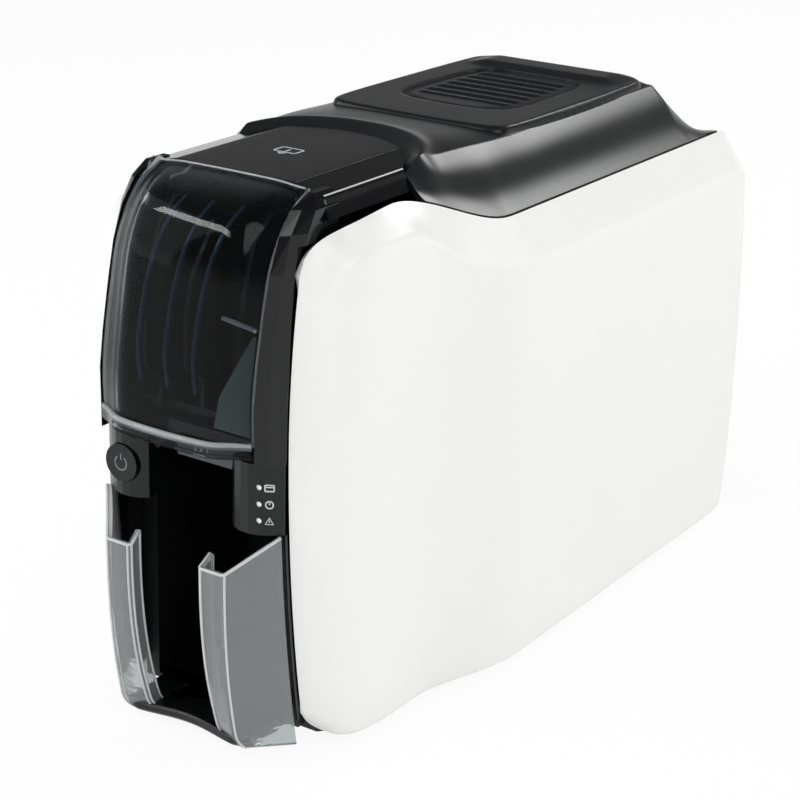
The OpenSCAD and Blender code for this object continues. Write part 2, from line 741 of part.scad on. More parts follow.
// Grooved rails hold the card's long edges, and walls guide it down the chute
module card_track() color([0.22, 0.23, 0.25]) placed() difference() {
    union() {
        rail(rail_y0 + gap, chute_y0 - 4, deck_z, track_z + 1.6);
        rail(chute_y1 + 4, rail_y1, deck_z, track_z + 1.6);
        rail(rail_y0 + gap, rail_y1, track_z + card_w - 1, bridge_z);
        rail(rail_y1, rail_y1 + 4, deck_z, bridge_z);
        rail(rail_y0 + gap, rail_y0 + 4, deck_z, bridge_z);
        // chute walls
        block(card_x + chute_gap / 2, card_x + chute_gap / 2 + 2, bin_y1, chute_y1 + 2,
            floor_z, deck_low);
        block(card_x - chute_gap / 2 - 2, card_x - chute_gap / 2, bin_y1, chute_y1 + 2,
            floor_z, belt_z - 6);
        block(card_x - 2, card_x + 2, chute_y1, chute_y1 + 2, floor_z, deck_low);
        // bearings of the gate
        block(card_x + 3, card_x + 7, chute_y0 - 6.6, chute_y0 - 4, deck_z, track_z);
        block(card_x + 3, card_x + 7, chute_y1 + 4, chute_y1 + 7, deck_z, track_z);
    }
    rod_y(card_x + 4.5, track_z - 3.4, chute_y0 - 7, chute_y1 + 8, 1.2 + run_gap);
    block(card_x - slit / 2, card_x + slit / 2, rail_y0 - 5, rail_y1, track_z - 0.6,
        track_z + card_w + 0.6);
    // windows for the rollers, the head and the eject roller
    for (y = concat(roller_rows, [head_y, clean_y]))
        block(card_x - 10, card_x + 10, y - 8, y + 8, track_z + 1.9, track_z + card_w + 1);
}

gate_pin = [card_x + 4.5, track_z - 3.4];

// Flap under the track that swings down and lets a finished card drop into the chute
module card_gate() color(steel) placed() {
    block(card_x - 3, gate_pin[0], chute_y0 - 3.4, chute_y1 + 3.4, track_z - 2.6, track_z - 0.6);
    rod_y(gate_pin[0], gate_pin[1], chute_y0 - 3.4, chute_y1 + 3.4, 2.4);
    rod_y(gate_pin[0], gate_pin[1], chute_y0 - 6.6, chute_y1 + 7, 1.2);
}

module roller_bridge() color(frame_grey) placed() difference() {
    union() {
        block(-frame_x, pinch_x + 6, clean_y - 4, roller_rows[0] + 8, bridge_z, bridge_z + 3);
        block(-frame_x, card_x + 3.5, clean_y - 4, roller_rows[1] + 8, bridge_z, bridge_z + 3);
        block(-frame_x, pinch_x + 6, roller_rows[1] - 8, roller_rows[1] + 8, bridge_z, bridge_z + 3);
    }
    for (y = concat(roller_rows, [head_y, clean_y]))
        rod_z(roller_x, y, bridge_z - 1, bridge_z + 4, shaft_r + run_gap);
    for (y = roller_rows)
        rod_z(pinch_x, y, bridge_z - 1, bridge_z + 4, shaft_r + run_gap);
}

// A roller: shaft, sleeve and, for a driven one, a belt pulley under the deck
module roller(x, y, r, pulley, split) {
    rod_z(x, y, pulley ? shaft_z0 : deck_low, bridge_z + 3, shaft_r);
    if (split) {
        rod_z(x, y, roller_z0, roller_z0 + 12, r);
        rod_z(x, y, roller_z1 - 12, roller_z1, r);
    } else {
        rod_z(x, y, roller_z0, roller_z1, r);
    }
    if (pulley) {
        rod_z(x, y, belt_z - 3, belt_z + 3, pulley_r - 1);
        rod_z(x, y, belt_z - 4, belt_z - 3, pulley_r + 0.6);
        rod_z(x, y, belt_z + 3, belt_z + 4, pulley_r + 0.6);
    }
}

module front_drive_roller() color(rubber_black) placed()
    roller(roller_x, roller_rows[0], drive_r, true, true);

module rear_drive_roller() color(rubber_black) placed()
    roller(roller_x, roller_rows[1], drive_r, true, true);

module front_pinch_roller() color(steel) placed()
    roller(pinch_x, roller_rows[0], pinch_r, false, true);

module rear_pinch_roller() color(steel) placed()
    roller(pinch_x, roller_rows[1], pinch_r, false, true);

module platen_roller() color(rubber_black) placed()
    roller(roller_x, head_y, drive_r, true, false);

module cleaning_roller() color([0.25, 0.45, 0.75]) placed() {
    rod_z(roller_x, clean_y, deck_low, bridge_z + 3, shaft_r);
    rod_z(roller_x, clean_y, roller_z0, roller_z1, drive_r);
}

pulley_y = roller_rows[1] + 28;
belt_ys = [roller_rows[0], pulley_y];

// Toothed belt from the motor round the drive rollers and the platen
module belt_loop(r) union() {
    translate([roller_x, belt_ys[0]]) circle(r);
    translate([roller_x, belt_ys[1]]) circle(r);
    translate([roller_x - r, belt_ys[0]]) square([2 * r, belt_ys[1] - belt_ys[0]]);
}

module drive_belt() color(rubber_black) placed() upward(belt_z - 2.5, belt_z + 2.5) difference() {
    belt_loop(pulley_r + 0.2);
    belt_loop(pulley_r - 0.7);
}

module motor_pulley() color([0.8, 0.7, 0.35]) placed() {
    rod_z(roller_x, pulley_y, belt_z - 12, deck_low - 1, shaft_r);
    rod_z(roller_x, pulley_y, belt_z - 3, belt_z + 3, pulley_r - 1);
}

// A square stepper motor body with a front boss
module stepper(x, y, z, side, h, bore) translate([x, y, z]) difference() {
    union() {
        linear_extrude(h) round_rect(side, side, 3);
        translate([0, 0, h]) cylinder(h = 1.5, r = side * 0.26);
    }
    translate([0, 0, h - 12]) cylinder(h = 14, r = bore + run_gap);
}

motor_top = belt_z - 6;
feed_motor_h = 32;

module feed_motor() color([0.16, 0.16, 0.17]) placed() {
    stepper(roller_x, pulley_y, motor_top - feed_motor_h, 24, feed_motor_h, shaft_r);
    // bracket to the side frame
    block(-frame_x, roller_x - 12, pulley_y - 10, pulley_y + 10, motor_top - 3, motor_top);
}

// ---------------------------------------------------------------- print head and ribbon

head_gap = 2.6;
head_face_x = card_x + 0.5 + head_gap;

// Lever with the thermal edge; it swings about the pin until the edge meets the card
module print_head() color([0.55, 0.5, 0.4]) placed() difference() {
    union() {
        rod_z(head_pin[0], head_pin[1], deck_z + 1, track_z + card_w - 1, 5.5);
        block(head_face_x + 4, head_pin[0] + 3, head_y - 8, head_pin[1], track_z + 0.5,
            track_z + card_w + 1);
        block(head_face_x, head_face_x + 5, head_y - 2.5, head_y + 2.5, track_z, track_z + card_w);
        block(head_face_x + 12, cam_at[0] - 5.9, head_y - 11, head_y, track_z, track_z + 10);
    }
    rod_z(head_pin[0], head_pin[1], deck_z, track_z + card_w + 5, 3 + run_gap);
}

// Eccentric that presses the lever
module head_cam() color([0.85, 0.85, 0.8]) placed() {
    rod_z(cam_at[0], cam_at[1], shaft_z0 + 1, track_z + 11, shaft_r);
    rod_z(cam_at[0] + 1.5, cam_at[1], track_z + 1, track_z + 9, 6);
}

module head_motor() color([0.16, 0.16, 0.17]) placed() {
    stepper(cam_at[0], cam_at[1], shaft_z0 - 22, 28, 22, shaft_r);
    block(cam_at[0] + 14, frame_x, cam_at[1] - 9, cam_at[1] + 9, shaft_z0 - 8, shaft_z0 - 4);
}

spool_z0 = track_z - 2;
spool_z1 = track_z + card_w + 2;

module spool(y, film_r, low) {
    rod_z(spool_x, y, low, spool_z1 + 3, spool_pin_r);
    rod_z(spool_x, y, spool_z0, spool_z1, film_r);
    rod_z(spool_x, y, spool_z0 - 2, spool_z0, supply_r + 1.5);
    rod_z(spool_x, y, spool_z1, spool_z1 + 2, supply_r + 1.5);
}

module supply_spool() color([0.12, 0.13, 0.3]) placed() spool(supply_y, supply_r, deck_low);

gear_z = shaft_z0 + 2;
takeup_gear_r = 14;
pinion_gear_r = 7;

module takeup_spool() color([0.12, 0.13, 0.3]) placed() {
    spool(takeup_y, takeup_r, gear_z - 1);
    toothed(spool_x, takeup_y, gear_z, 28, 0);
}

module ribbon_pinion() color([0.85, 0.85, 0.8]) placed() {
    toothed(spool_x, takeup_y - 21, gear_z, 14, 0);
    rod_z(spool_x, takeup_y - 21, gear_z - 10, gear_z + 5, shaft_r);
}

// Spur gear of module 1 with plain teeth
module toothed(x, y, z, teeth, turn) translate([x, y, z]) rotate([0, 0, turn]) linear_extrude(4)
    union() {
        circle(teeth / 2 - 1.15);
        for (i = [0:teeth - 1]) rotate(i * 360 / teeth) polygon([
            [teeth / 2 - 1.6, -0.72], [teeth / 2, -0.5], [teeth / 2 + 0.75, -0.24],
            [teeth / 2 + 0.75, 0.24], [teeth / 2, 0.5], [teeth / 2 - 1.6, 0.72]
        ]);
    }

module ribbon_motor() color([0.16, 0.16, 0.17]) placed() {
    stepper(spool_x, takeup_y - 21, gear_z - 26, 24, 22, shaft_r);
    block(spool_x + 12, frame_x, takeup_y - 30, takeup_y - 12, gear_z - 12, gear_z - 8);
}

plate_t = 2;
cartridge_top = spool_z1 + 3;

// Plan of the cartridge's two plates: a C round the print head
module cartridge_plan() difference() {
    translate([(frame_x + 2) / 2, (takeup_y + supply_y) / 2])
        round_rect(frame_x - 4, supply_y - takeup_y + 34, 5);
    translate([-4, head_y - 26]) square([20, 46]);
}

module ribbon_cartridge() color([0.75, 0.77, 0.8]) placed() difference() {
    union() {
        upward(deck_z + 0.5, deck_z + 0.5 + plate_t) cartridge_plan();
        upward(cartridge_top, cartridge_top + plate_t) cartridge_plan();
        block(frame_x - 3, frame_x - 1, takeup_y - 4, supply_y + 4, deck_z + 0.5, cartridge_top + 2);
        // handle
        block(frame_x - 3, frame_x - 1, head_y - 22, head_y + 22, cartridge_top, 216);
        block(frame_x - 14, frame_x - 1, head_y - 22, head_y + 22, 216, 219);
    }
    for (y = [supply_y, takeup_y])
        rod_z(spool_x, y, deck_z, cartridge_top + 3, spool_pin_r + run_gap);
    block(frame_x - 4, frame_x, head_y - 14, head_y + 14, cartridge_top + 5, 212);
}

film_t = 0.3;
film_x = card_x + 1.2;
film_posts = [[-13, head_y - 22], [-13, head_y + 34]];

// Strip of ribbon between two points in plan
module film_run(a, b) let (d = b - a, l = norm(d))
    translate([a[0], a[1]]) rotate(atan2(d[1], d[0])) translate([0, -film_t / 2]) square([l, film_t]);

module ribbon_film() color([0.1, 0.1, 0.12, 0.8]) placed() upward(track_z + 1.8, track_z + card_w - 1.2) {
    film_run([spool_x - takeup_r - 0.8, takeup_y + 2], film_posts[0]);
    film_run(film_posts[0], [film_x, head_y - 3]);
    film_run([film_x, head_y - 3], [film_x, head_y + 3]);
    film_run([film_x, head_y + 3], film_posts[1]);
    film_run(film_posts[1], [spool_x - supply_r - 0.4, supply_y - 2]);
}

// ---------------------------------------------------------------- rear and electronics

rear_y = back_y - 8;
rear_half = rear_seam_x - 1.1;
inlet_x = -24;
inlet_z = 44;
usb_x = 6;
usb_z = 44;

module rear_panel() color(panel_black) placed() difference() {
    along(rear_y, rear_y + 2.6) translate([0, 104]) round_rect(2 * rear_half, 182, 6);
    for (z = [120:7:162], s = [-1, 1])
        along(rear_y - 1, rear_y + 4) translate([s * 24, z]) round_rect(36, 3, 1.4);
    along(rear_y - 1, rear_y + 4) translate([inlet_x, inlet_z]) circle(6.2);
    along(rear_y - 1, rear_y + 4) translate([usb_x, usb_z]) square([13, 12], center = true);
    along(rear_y - 1, rear_y + 4) translate([30, 30]) round_rect(7, 3.2, 1.4);
}

// Low-voltage inlet: a barrel socket
module power_inlet() color(rubber_black) placed() difference() {
    union() {
        rod_y(inlet_x, inlet_z, rear_y - 10, rear_y + 2, 6);
        block(inlet_x - 7, inlet_x + 7, rear_y - 14, rear_y - 0.01, inlet_z - 7, inlet_z + 7);
    }
    rod_y(inlet_x, inlet_z, rear_y - 9, rear_y + 3, 3.2);
}

module usb_port() color(steel) placed() difference() {
    block(usb_x - 6.2, usb_x + 6.2, rear_y - 16, rear_y + 2, usb_z - 5.7, usb_z + 5.7);
    block(usb_x - 5, usb_x + 5, rear_y - 12, rear_y + 3, usb_z - 4.4, usb_z + 4.4);
}

board_x = frame_out + 5;

module main_board() color([0.1, 0.35, 0.2]) placed() {
    block(board_x, board_x + 1.6, 150, 320, 40, 180);
    for (y = [158, 312], z = [46, 174]) rod_x(y, z, frame_out, board_x, 3);
    block(board_x + 1.6, board_x + 3.6, 190, 220, 100, 130);
    block(board_x + 1.6, board_x + 3, 240, 262, 96, 118);
    for (y = [200:16:280]) rod_x(y, 60, board_x + 1.6, board_x + 9, 4);
    block(board_x + 1.6, board_x + 8, 160, 176, 70, 110);
}

// ---------------------------------------------------------------- lid

lid_rear = back_y - 21;
lid_gap = 0.6;
deck_half = 47;
lid_crown = body_h - 4;
slope_y = 284;

// Lower edge of the lid: it follows the panels' top seam
function lid_edge_x(y) = min(top_seam_x(y), rear_seam_x) - lid_gap - 2.6 * ramp(y, 290, 312);
function lid_edge_z(y) = top_seam_z(y) + 0.8 - 1.6 * ramp(y, 300, lid_rear);
function lid_top_z(y) = y > slope_y
    ? lookup(y, [[slope_y, lid_crown], [297, 222], [309, 211], [lid_rear, 204]])
    : mix(body_h, lid_crown, ramp(y, 88, 150));
function lid_top_x(y) = mix(shoulder_x, deck_half, ramp(y, 78, 140));

// The front edge is an arch in plan that meets the hopper's glossy top
function arch_y(x) = abs(x) < shoulder_x ? arch_centre + sqrt(arch_r * arch_r - x * x) : lid_front;

// Share 0 is the middle of the lid, top_share its top edge and 1 its lower edge
top_share = 0.66;
lid_shares = [0, 0.16, 0.32, 0.46, 0.58, top_share, 0.7, 0.8, 0.9, 1];

function lid_point(t, s) =
    let (share = abs(s), a = min(1, share / top_share),
         b = max(0, (share - top_share) / (1 - top_share)),
         y = mix(arch_y(shoulder_x * a), lid_rear, t),
         tx = lid_top_x(y), tz = lid_top_z(y) - 2 * pow(a, 5),
         lift = t < 0.001 ? -1.6 : 0)
    b == 0
        ? [sign(s) * tx * a, y, tz + lift]
        : [sign(s) * mix(tx, lid_edge_x(y), pow(b, 0.85)), y,
            mix(tz, lid_edge_z(y), pow(b, 1.15)) + lift * (1 - b)];

lid_t = [0, 0.008, 0.03, 0.07, 0.12, 0.18, 0.25, 0.33, 0.43, 0.55, 0.68, 0.78, 0.83, 0.89, 0.945, 0.995];
lid_sides = concat([for (i = [len(lid_shares) - 1:-1:1]) -lid_shares[i]], lid_shares);
// the last column turns down into a short rear lip
lid_grid = [for (s = lid_sides) concat([for (t = lid_t) lid_point(t, s)],
    [lid_point(1, s) - [0, 0, 2.4]])];

module lid_shell() color([0.2, 0.21, 0.22]) placed() difference() {
    moulded(lid_grid, lid_wall);
    upward(lid_crown - 8, lid_crown + 6) button_plan(1.2);
}

deck_top = lid_crown + 1.4;
button_y0 = 178;
button_y1 = 254;
button_half = 27;

module lid_deck() color([0.16, 0.17, 0.18]) placed() difference() {
    union() {
        upward(lid_crown + 0.1, deck_top) deck_plan();
        // raised block behind the button
        across(-30, 30) polygon([[258, deck_top - 0.5], [260, deck_top + 1.6], [276, deck_top + 1.6],
            [281, deck_top - 0.5]]);
    }
    upward(lid_crown - 3, deck_top + 3) button_plan(1.2);
}

// Shield outline of the raised deck
module deck_plan() polygon([
    [-41, 158], [-24, 152], [0, 150], [24, 152], [41, 158], [44, 190], [44, 270], [40, 282],
    [-40, 282], [-44, 270], [-44, 190]
]);

module button_plan(grow) union() {
    translate([-button_half - grow, button_y0 + 26]) square([2 * (button_half + grow),
        button_y1 + grow - button_y0 - 26]);
    translate([0, button_y0 + button_half]) circle(button_half + grow);
}

stem_y = 232;
plate_z = lid_crown - 16;

module release_button() color([0.12, 0.13, 0.14]) placed() union() {
    upward(lid_crown - 2, deck_top - 0.6) button_plan(0);
    for (y = [196:10:246])
        across(-button_half + 4, button_half - 4) polygon([
            [y, deck_top - 1], [y + 1.5, deck_top + 0.4], [y + 4, deck_top + 0.4],
            [y + 5.5, deck_top - 1]
        ]);
    rod_z(0, stem_y, plate_z - 1, lid_crown - 2, 4);
}

module button_spring() color(steel) placed() difference() {
    rod_z(0, stem_y, plate_z + 2.5, lid_crown - 2, 6.4);
    rod_z(0, stem_y, plate_z + 2, lid_crown - 1, 5);
}

rail_t = 3.6;
hook_pivot = [keeper_y, plate_z - 3];

module rail_profile() difference() {
    union() {
        polygon([
            [222, plate_z], [222, lid_crown - 10], [276, lid_crown - 10], [292, lid_crown - 17],
            [lid_hinge_y + 1, lid_hinge_z + 2.8], [lid_hinge_y, lid_hinge_z - 3.2],
            [lid_hinge_y - 3.2, lid_hinge_z], [280, plate_z]
        ]);
        translate([lid_hinge_y, lid_hinge_z]) circle(4);
    }
    translate([lid_hinge_y, lid_hinge_z]) circle(lid_pin_r + run_gap);
}

// Inside frame of the lid: two rails with hinge ears, and a plate for the button and the latch
module lid_frame() color(frame_grey) placed() {
    both_sides() across(rail_in, rail_in + rail_t) rail_profile();
    difference() {
        block(-rail_in, rail_in, 222, 252, plate_z, plate_z + 2.5);
        rod_z(0, stem_y, plate_z - 1, plate_z + 4, 4.1);
    }
    both_sides() difference() {
        block(34, 38, keeper_y - 5, keeper_y + 5, hook_pivot[1] - 4, plate_z);
        rod_x(hook_pivot[0], hook_pivot[1], 33, 39, 2 + run_gap);
    }
}

// Two hooks on one shaft; the button's stem presses its tongue
module latch_hooks() color(steel) placed() {
    rod_x(hook_pivot[0], hook_pivot[1], -keeper_x - 1.5, keeper_x + 1.5, 2);
    both_sides() across(keeper_x - 1.5, keeper_x + 1.5) polygon([
        [keeper_y - 2, hook_pivot[1] + 1], [keeper_y + 2, hook_pivot[1] + 1], [keeper_y + 2, bay_z - 3],
        [keeper_y - 3, bay_z - 3], [keeper_y - 6, bay_z + 2], [keeper_y - 6, bay_z + 3.6],
        [keeper_y - 2, bay_z + 3.6]
    ]);
    block(-5, 5, stem_y - 2, keeper_y, hook_pivot[1] - 1.5, hook_pivot[1] + 1.5);
}

// ---------------------------------------------------------------- assembly

base_tray();
rubber_feet();
left_side_panel();
right_side_panel();
front_bezel();
hopper_top();
card_hopper();
left_control_face();
right_control_face();
slot_block();
status_lights();
output_wings();
output_bin();
left_frame();
right_frame();
transport_deck();
card_track();
roller_bridge();
bay_frame();
latch_keepers();
rear_panel();
main_board();
power_inlet();
usb_port();
feed_motor();
ribbon_motor();
head_motor();
lid_shell();
lid_deck();
lid_frame();
lid_hinge_pins();
release_button();
button_spring();
latch_hooks();
smoke_cover();
cover_pins();
power_button();
card_pusher();
pusher_rod();
pusher_spring();
pick_roller();
front_drive_roller();
front_pinch_roller();
rear_drive_roller();
rear_pinch_roller();
platen_roller();
cleaning_roller();
drive_belt();
motor_pulley();
print_head();
head_cam();
ribbon_cartridge();
supply_spool();
takeup_spool();
ribbon_film();
ribbon_pinion();
card_gate();
frame_screws();
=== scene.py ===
"""Dressed model of a desktop printer for plastic cards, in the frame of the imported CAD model.

Shapes are worked out in millimetres, with y counted from the front seam, and placed in metres by make_piece.
The studio is in metres.
"""

from __future__ import annotations

import json
import logging
import math
from dataclasses import dataclass, field
from enum import Enum
from typing import Sequence

import bpy
import numpy as np
from mathutils import Matrix, Vector

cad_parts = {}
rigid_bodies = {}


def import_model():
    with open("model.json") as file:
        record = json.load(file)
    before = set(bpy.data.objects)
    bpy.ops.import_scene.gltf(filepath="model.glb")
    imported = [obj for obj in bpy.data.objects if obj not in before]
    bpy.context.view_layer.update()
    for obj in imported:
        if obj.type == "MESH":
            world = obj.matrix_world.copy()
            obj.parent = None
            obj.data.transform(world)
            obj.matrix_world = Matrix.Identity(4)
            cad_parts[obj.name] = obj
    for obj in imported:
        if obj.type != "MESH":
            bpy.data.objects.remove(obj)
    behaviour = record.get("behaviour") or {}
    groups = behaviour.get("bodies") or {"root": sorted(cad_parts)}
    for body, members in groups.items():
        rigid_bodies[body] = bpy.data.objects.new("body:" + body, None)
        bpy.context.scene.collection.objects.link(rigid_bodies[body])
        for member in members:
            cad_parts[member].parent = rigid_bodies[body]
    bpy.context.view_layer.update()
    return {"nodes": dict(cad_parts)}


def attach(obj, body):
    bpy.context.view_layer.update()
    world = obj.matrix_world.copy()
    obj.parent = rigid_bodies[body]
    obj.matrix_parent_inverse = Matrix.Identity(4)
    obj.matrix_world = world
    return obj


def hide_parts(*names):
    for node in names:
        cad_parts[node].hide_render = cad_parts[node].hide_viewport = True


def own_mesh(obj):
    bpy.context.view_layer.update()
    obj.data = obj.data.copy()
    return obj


LOG = logging.getLogger("card_printer")
MM = 0.001
SEAM_Y = -160.0
CLOUD_MM = 55.0
Point = tuple[float, float, float]
Flat = tuple[float, float]
Values = float | np.ndarray
Mesh = tuple[np.ndarray, list[list[int]]]
Link = tuple[bpy.types.Node, str | int, bpy.types.Node, str | int]


class Body(str, Enum):
    """Moving groups that new pieces ride on."""

    PRINTER = "printer"
    LID = "lid"
    COVER = "cover"
    POWER = "power"
    BUTTON = "button"


def linear(code: str) -> tuple[float, float, float, float]:
    """Turns an sRGB hex code into a linear colour.

    Args:
        code: Six hex digits, with or without a leading hash.

    Returns:
        Red, green, blue and an alpha of 1.
    """
    text = code.lstrip("#")
    values = [int(text[k:k + 2], 16) / 255 for k in (0, 2, 4)]
    red, green, blue = (v / 12.92 if v <= 0.04045 else ((v + 0.055) / 1.055) ** 2.4 for v in values)
    return red, green, blue, 1.0


def blank_tree(owner: bpy.types.Material | bpy.types.World) -> bpy.types.NodeTree:
    """Turns nodes on for a material or a world and empties its tree.

    Args:
        owner: The material or world.

    Returns:
        Its empty node tree.
    """
    owner.use_nodes = True
    owner.node_tree.nodes.clear()
    return owner.node_tree


def add_node(tree: bpy.types.NodeTree, kind: str, place: tuple[int, int], **values: object) -> bpy.types.Node:
    """Adds a shader node and sets its sockets and properties.

    Args:
        tree: Node tree that takes the node.
        kind: Blender's type name of the node.
        place: Column and row in the editor.
        values: Socket names (underscores for spaces) or node properties.

    Returns:
        The new node.
    """
    node = tree.nodes.new(kind)
    node.location = (place[0] * 220, place[1] * -200)
    for name, value in values.items():
        label = name.replace("_", " ")
        if label in node.inputs:
            node.inputs[label].default_value = value
        else:
            setattr(node, name, value)
    return node


def join(tree: bpy.types.NodeTree, *links: Link) -> None:
    """Joins nodes.

    Args:
        tree: Node tree that holds them.
        links: A node and its output, then a node and its input, for each link.
    """
    for source, output, target, socket in links:
        tree.links.new(source.outputs[output], target.inputs[socket])


@dataclass(frozen=True)
class Finish:
    """A surface finish: colour, gloss, and a fine grain in millimetres where it has a bump."""

    name: str
    colour: str
    rough: float = 0.4
    metal: float = 0.0
    coat: float = 0.0
    clear: float = 0.0
    index: float = 1.5
    grain_mm: float = 0.6
    grain: float = 0.04
    bump: float = 0.02
    tint: float = 0.04
    glow: float = 0.0

    def shade(self, share: float) -> tuple[float, float, float, float]:
        """The finish's colour made lighter or darker by a share."""
        red, green, blue, _ = linear(self.colour)
        return min(1.0, red * share), min(1.0, green * share), min(1.0, blue * share), 1.0

    def material(self) -> bpy.types.Material:
        """Builds the material once and returns it.

        Returns:
            A material called after this finish.
        """
        label = f"{self.name}_look"
        made = bpy.data.materials.get(label)
        if made is not None:
            return made
        made = bpy.data.materials.new(label)
        tree = blank_tree(made)
        out = add_node(tree, "ShaderNodeOutputMaterial", (5, 0))
        shader = add_node(tree, "ShaderNodeBsdfPrincipled", (4, 0), Metallic=self.metal, IOR=self.index,
                          Coat_Weight=self.coat, Coat_Roughness=0.06, Transmission_Weight=self.clear)
        if self.glow > 0:
            shader.inputs["Emission Color"].default_value = linear(self.colour)
            shader.inputs["Emission Strength"].default_value = self.glow
        place = add_node(tree, "ShaderNodeTexCoord", (0, 0))
        cloud = add_node(tree, "ShaderNodeTexNoise", (2, 1), Detail=2.0, Scale=1.0 / (CLOUD_MM * MM))
        gloss = add_node(tree, "ShaderNodeMapRange", (3, 1), To_Min=max(0.01, self.rough - self.grain),
                         To_Max=min(1.0, self.rough + self.grain))
        colour = add_node(tree, "ShaderNodeMix", (3, 0), data_type="RGBA")
        colour.inputs[6].default_value = self.shade(1 - self.tint)
        colour.inputs[7].default_value = self.shade(1 + self.tint)
        join(tree, (place, "Object", cloud, "Vector"), (cloud, "Fac", gloss, "Value"),
             (cloud, "Fac", colour, 0), (colour, 2, shader, "Base Color"),
             (gloss, "Result", shader, "Roughness"), (shader, "BSDF", out, "Surface"))
        if self.bump > 0:
            noise = add_node(tree, "ShaderNodeTexNoise", (2, 0), Detail=3.0, Scale=1.0 / (self.grain_mm * MM))
            relief = add_node(tree, "ShaderNodeBump", (3, 2), Strength=min(1.0, self.bump * 10),
                              Distance=self.bump * MM)
            join(tree, (place, "Object", noise, "Vector"), (noise, "Fac", relief, "Height"),
                 (relief, "Normal", shader, "Normal"))
        return made


WHITE = Finish("white_moulding", "#F3F3F2", rough=0.34, coat=0.1, grain_mm=0.5, bump=0.006, tint=0.006)
GLOSS_BLACK = Finish("gloss_black", "#0B0C0E", rough=0.14, index=1.42, grain_mm=0.8, bump=0.002)
SATIN_BLACK = Finish("satin_black", "#0E0F11", rough=0.4, index=1.42, grain_mm=0.35, bump=0.02)
LID_BLACK = Finish("lid_black", "#17181A", rough=0.3, index=1.5, grain_mm=0.3, bump=0.008)
DECK_BLACK = Finish("deck_black", "#141518", rough=0.34, index=1.38, grain_mm=0.3, bump=0.01)
DEEP_BLACK = Finish("inner_black", "#0A0A0C", rough=0.5, grain_mm=0.5, bump=0.02)
FACE_BLACK = Finish("control_black", "#0B0F0E", rough=0.28, index=1.42, grain_mm=0.4, bump=0.006)
GREY = Finish("grey_moulding", "#4A4D52", rough=0.45, grain_mm=0.5, bump=0.015)
SMOKE = Finish("smoke_clear", "#99A1A4", rough=0.02, clear=1.0, index=1.2, grain=0.02, bump=0.0)
CLEAR = Finish("pale_clear", "#C2C8C9", rough=0.06, clear=0.74, index=1.42, grain=0.02, bump=0.0)
# Pale clear tubes on the cover: partly the real thick lip, partly painted highlights along its lip and edges.
RIM_AND_HIGHLIGHT = Finish("rim_clear_and_highlight", "#C9CECF", rough=0.12, clear=0.5, index=1.45, grain=0.02, bump=0.0)
GUIDE = Finish("guide_grey", "#7E8686", rough=0.45, grain_mm=0.5, bump=0.01)
# Pale near-white for the painted highlight lines on the wings' edges, and for the thin bar above the stack
# guide.
EDGE = Finish("bright_edge", "#E6EAEA", rough=0.12, clear=0.3, index=1.45, grain=0.02, bump=0.0)
SHEET_METAL = Finish("sheet_metal", "#A9ACB0", rough=0.38, metal=1.0, grain_mm=0.8, bump=0.006)
STEEL = Finish("steel", "#B9BBBE", rough=0.28, metal=1.0, grain_mm=0.4, bump=0.006)
FOOT = Finish("foot_rubber", "#101011", rough=0.8, grain_mm=0.4, bump=0.04)
ROLLER = Finish("roller_rubber", "#1A1A1C", rough=0.65, grain_mm=0.3, bump=0.03)
BLUE = Finish("cleaning_blue", "#1E4C9A", rough=0.45, grain_mm=0.4, bump=0.02)
BOARD = Finish("solder_mask", "#0E4A2A", rough=0.35, coat=0.3, grain_mm=1.5, bump=0.03)
MOTOR = Finish("motor_black", "#17181A", rough=0.35, metal=0.3, grain_mm=0.5, bump=0.01)
BRASS = Finish("brass", "#C6A049", rough=0.3, metal=1.0, grain_mm=0.4, bump=0.01)
HEAD = Finish("head_metal", "#9A9890", rough=0.4, metal=0.9, grain_mm=0.6, bump=0.02)
NYLON = Finish("nylon", "#DEDDD3", rough=0.5, grain_mm=0.5, bump=0.01)
RIBBON = Finish("ribbon", "#15182E", rough=0.25, grain_mm=2.0, bump=0.01)
LIGHT = Finish("light_pipe", "#CFE8DC", rough=0.3, bump=0.0, glow=0.25)
MARK = Finish("white_mark", "#C9CCCF", rough=0.5, bump=0.0)
DIM_MARK = Finish("grey_mark", "#6E7276", rough=0.5, bump=0.0)
FIN_BLUE = Finish("blue_edge", "#2C3E66", rough=0.25, coat=0.3, grain_mm=0.8, bump=0.004)

FINISH_NODES: dict[Finish, str] = {
    SATIN_BLACK: "base_tray card_track bay_frame latch_keepers rear_panel lid_frame",
    FOOT: "rubber_feet power_inlet",
    WHITE: "left_side_panel right_side_panel",
    GLOSS_BLACK: "front_bezel hopper_top",
    DEEP_BLACK: "card_hopper output_bin card_pusher",
    FACE_BLACK: "left_control_face right_control_face power_button",
    GREY: "slot_block ribbon_cartridge",
    LIGHT: "status_lights",
    CLEAR: "output_wings",
    SHEET_METAL: "left_frame right_frame transport_deck roller_bridge",
    BOARD: "main_board",
    STEEL: "usb_port lid_hinge_pins button_spring latch_hooks cover_pins pusher_rod pusher_spring "
           "front_pinch_roller rear_pinch_roller card_gate frame_screws",
    MOTOR: "feed_motor ribbon_motor head_motor",
    LID_BLACK: "lid_shell",
    DECK_BLACK: "lid_deck release_button",
    SMOKE: "smoke_cover",
    ROLLER: "pick_roller front_drive_roller rear_drive_roller platen_roller drive_belt",
    BLUE: "cleaning_roller",
    BRASS: "motor_pulley",
    HEAD: "print_head",
    NYLON: "head_cam ribbon_pinion",
    RIBBON: "supply_spool takeup_spool ribbon_film",
}
NODE_FINISH = {node: finish for finish, nodes in FINISH_NODES.items() for node in nodes.split()}

SOFT_EDGES: dict[str, float] = {
    "power_button": 0.5, "left_control_face": 0.4, "right_control_face": 0.4, "slot_block": 0.4,
    "base_tray": 0.5, "output_bin": 0.4, "rear_panel": 0.3, "bay_frame": 0.4, "transport_deck": 0.3,
    "roller_bridge": 0.3,
}


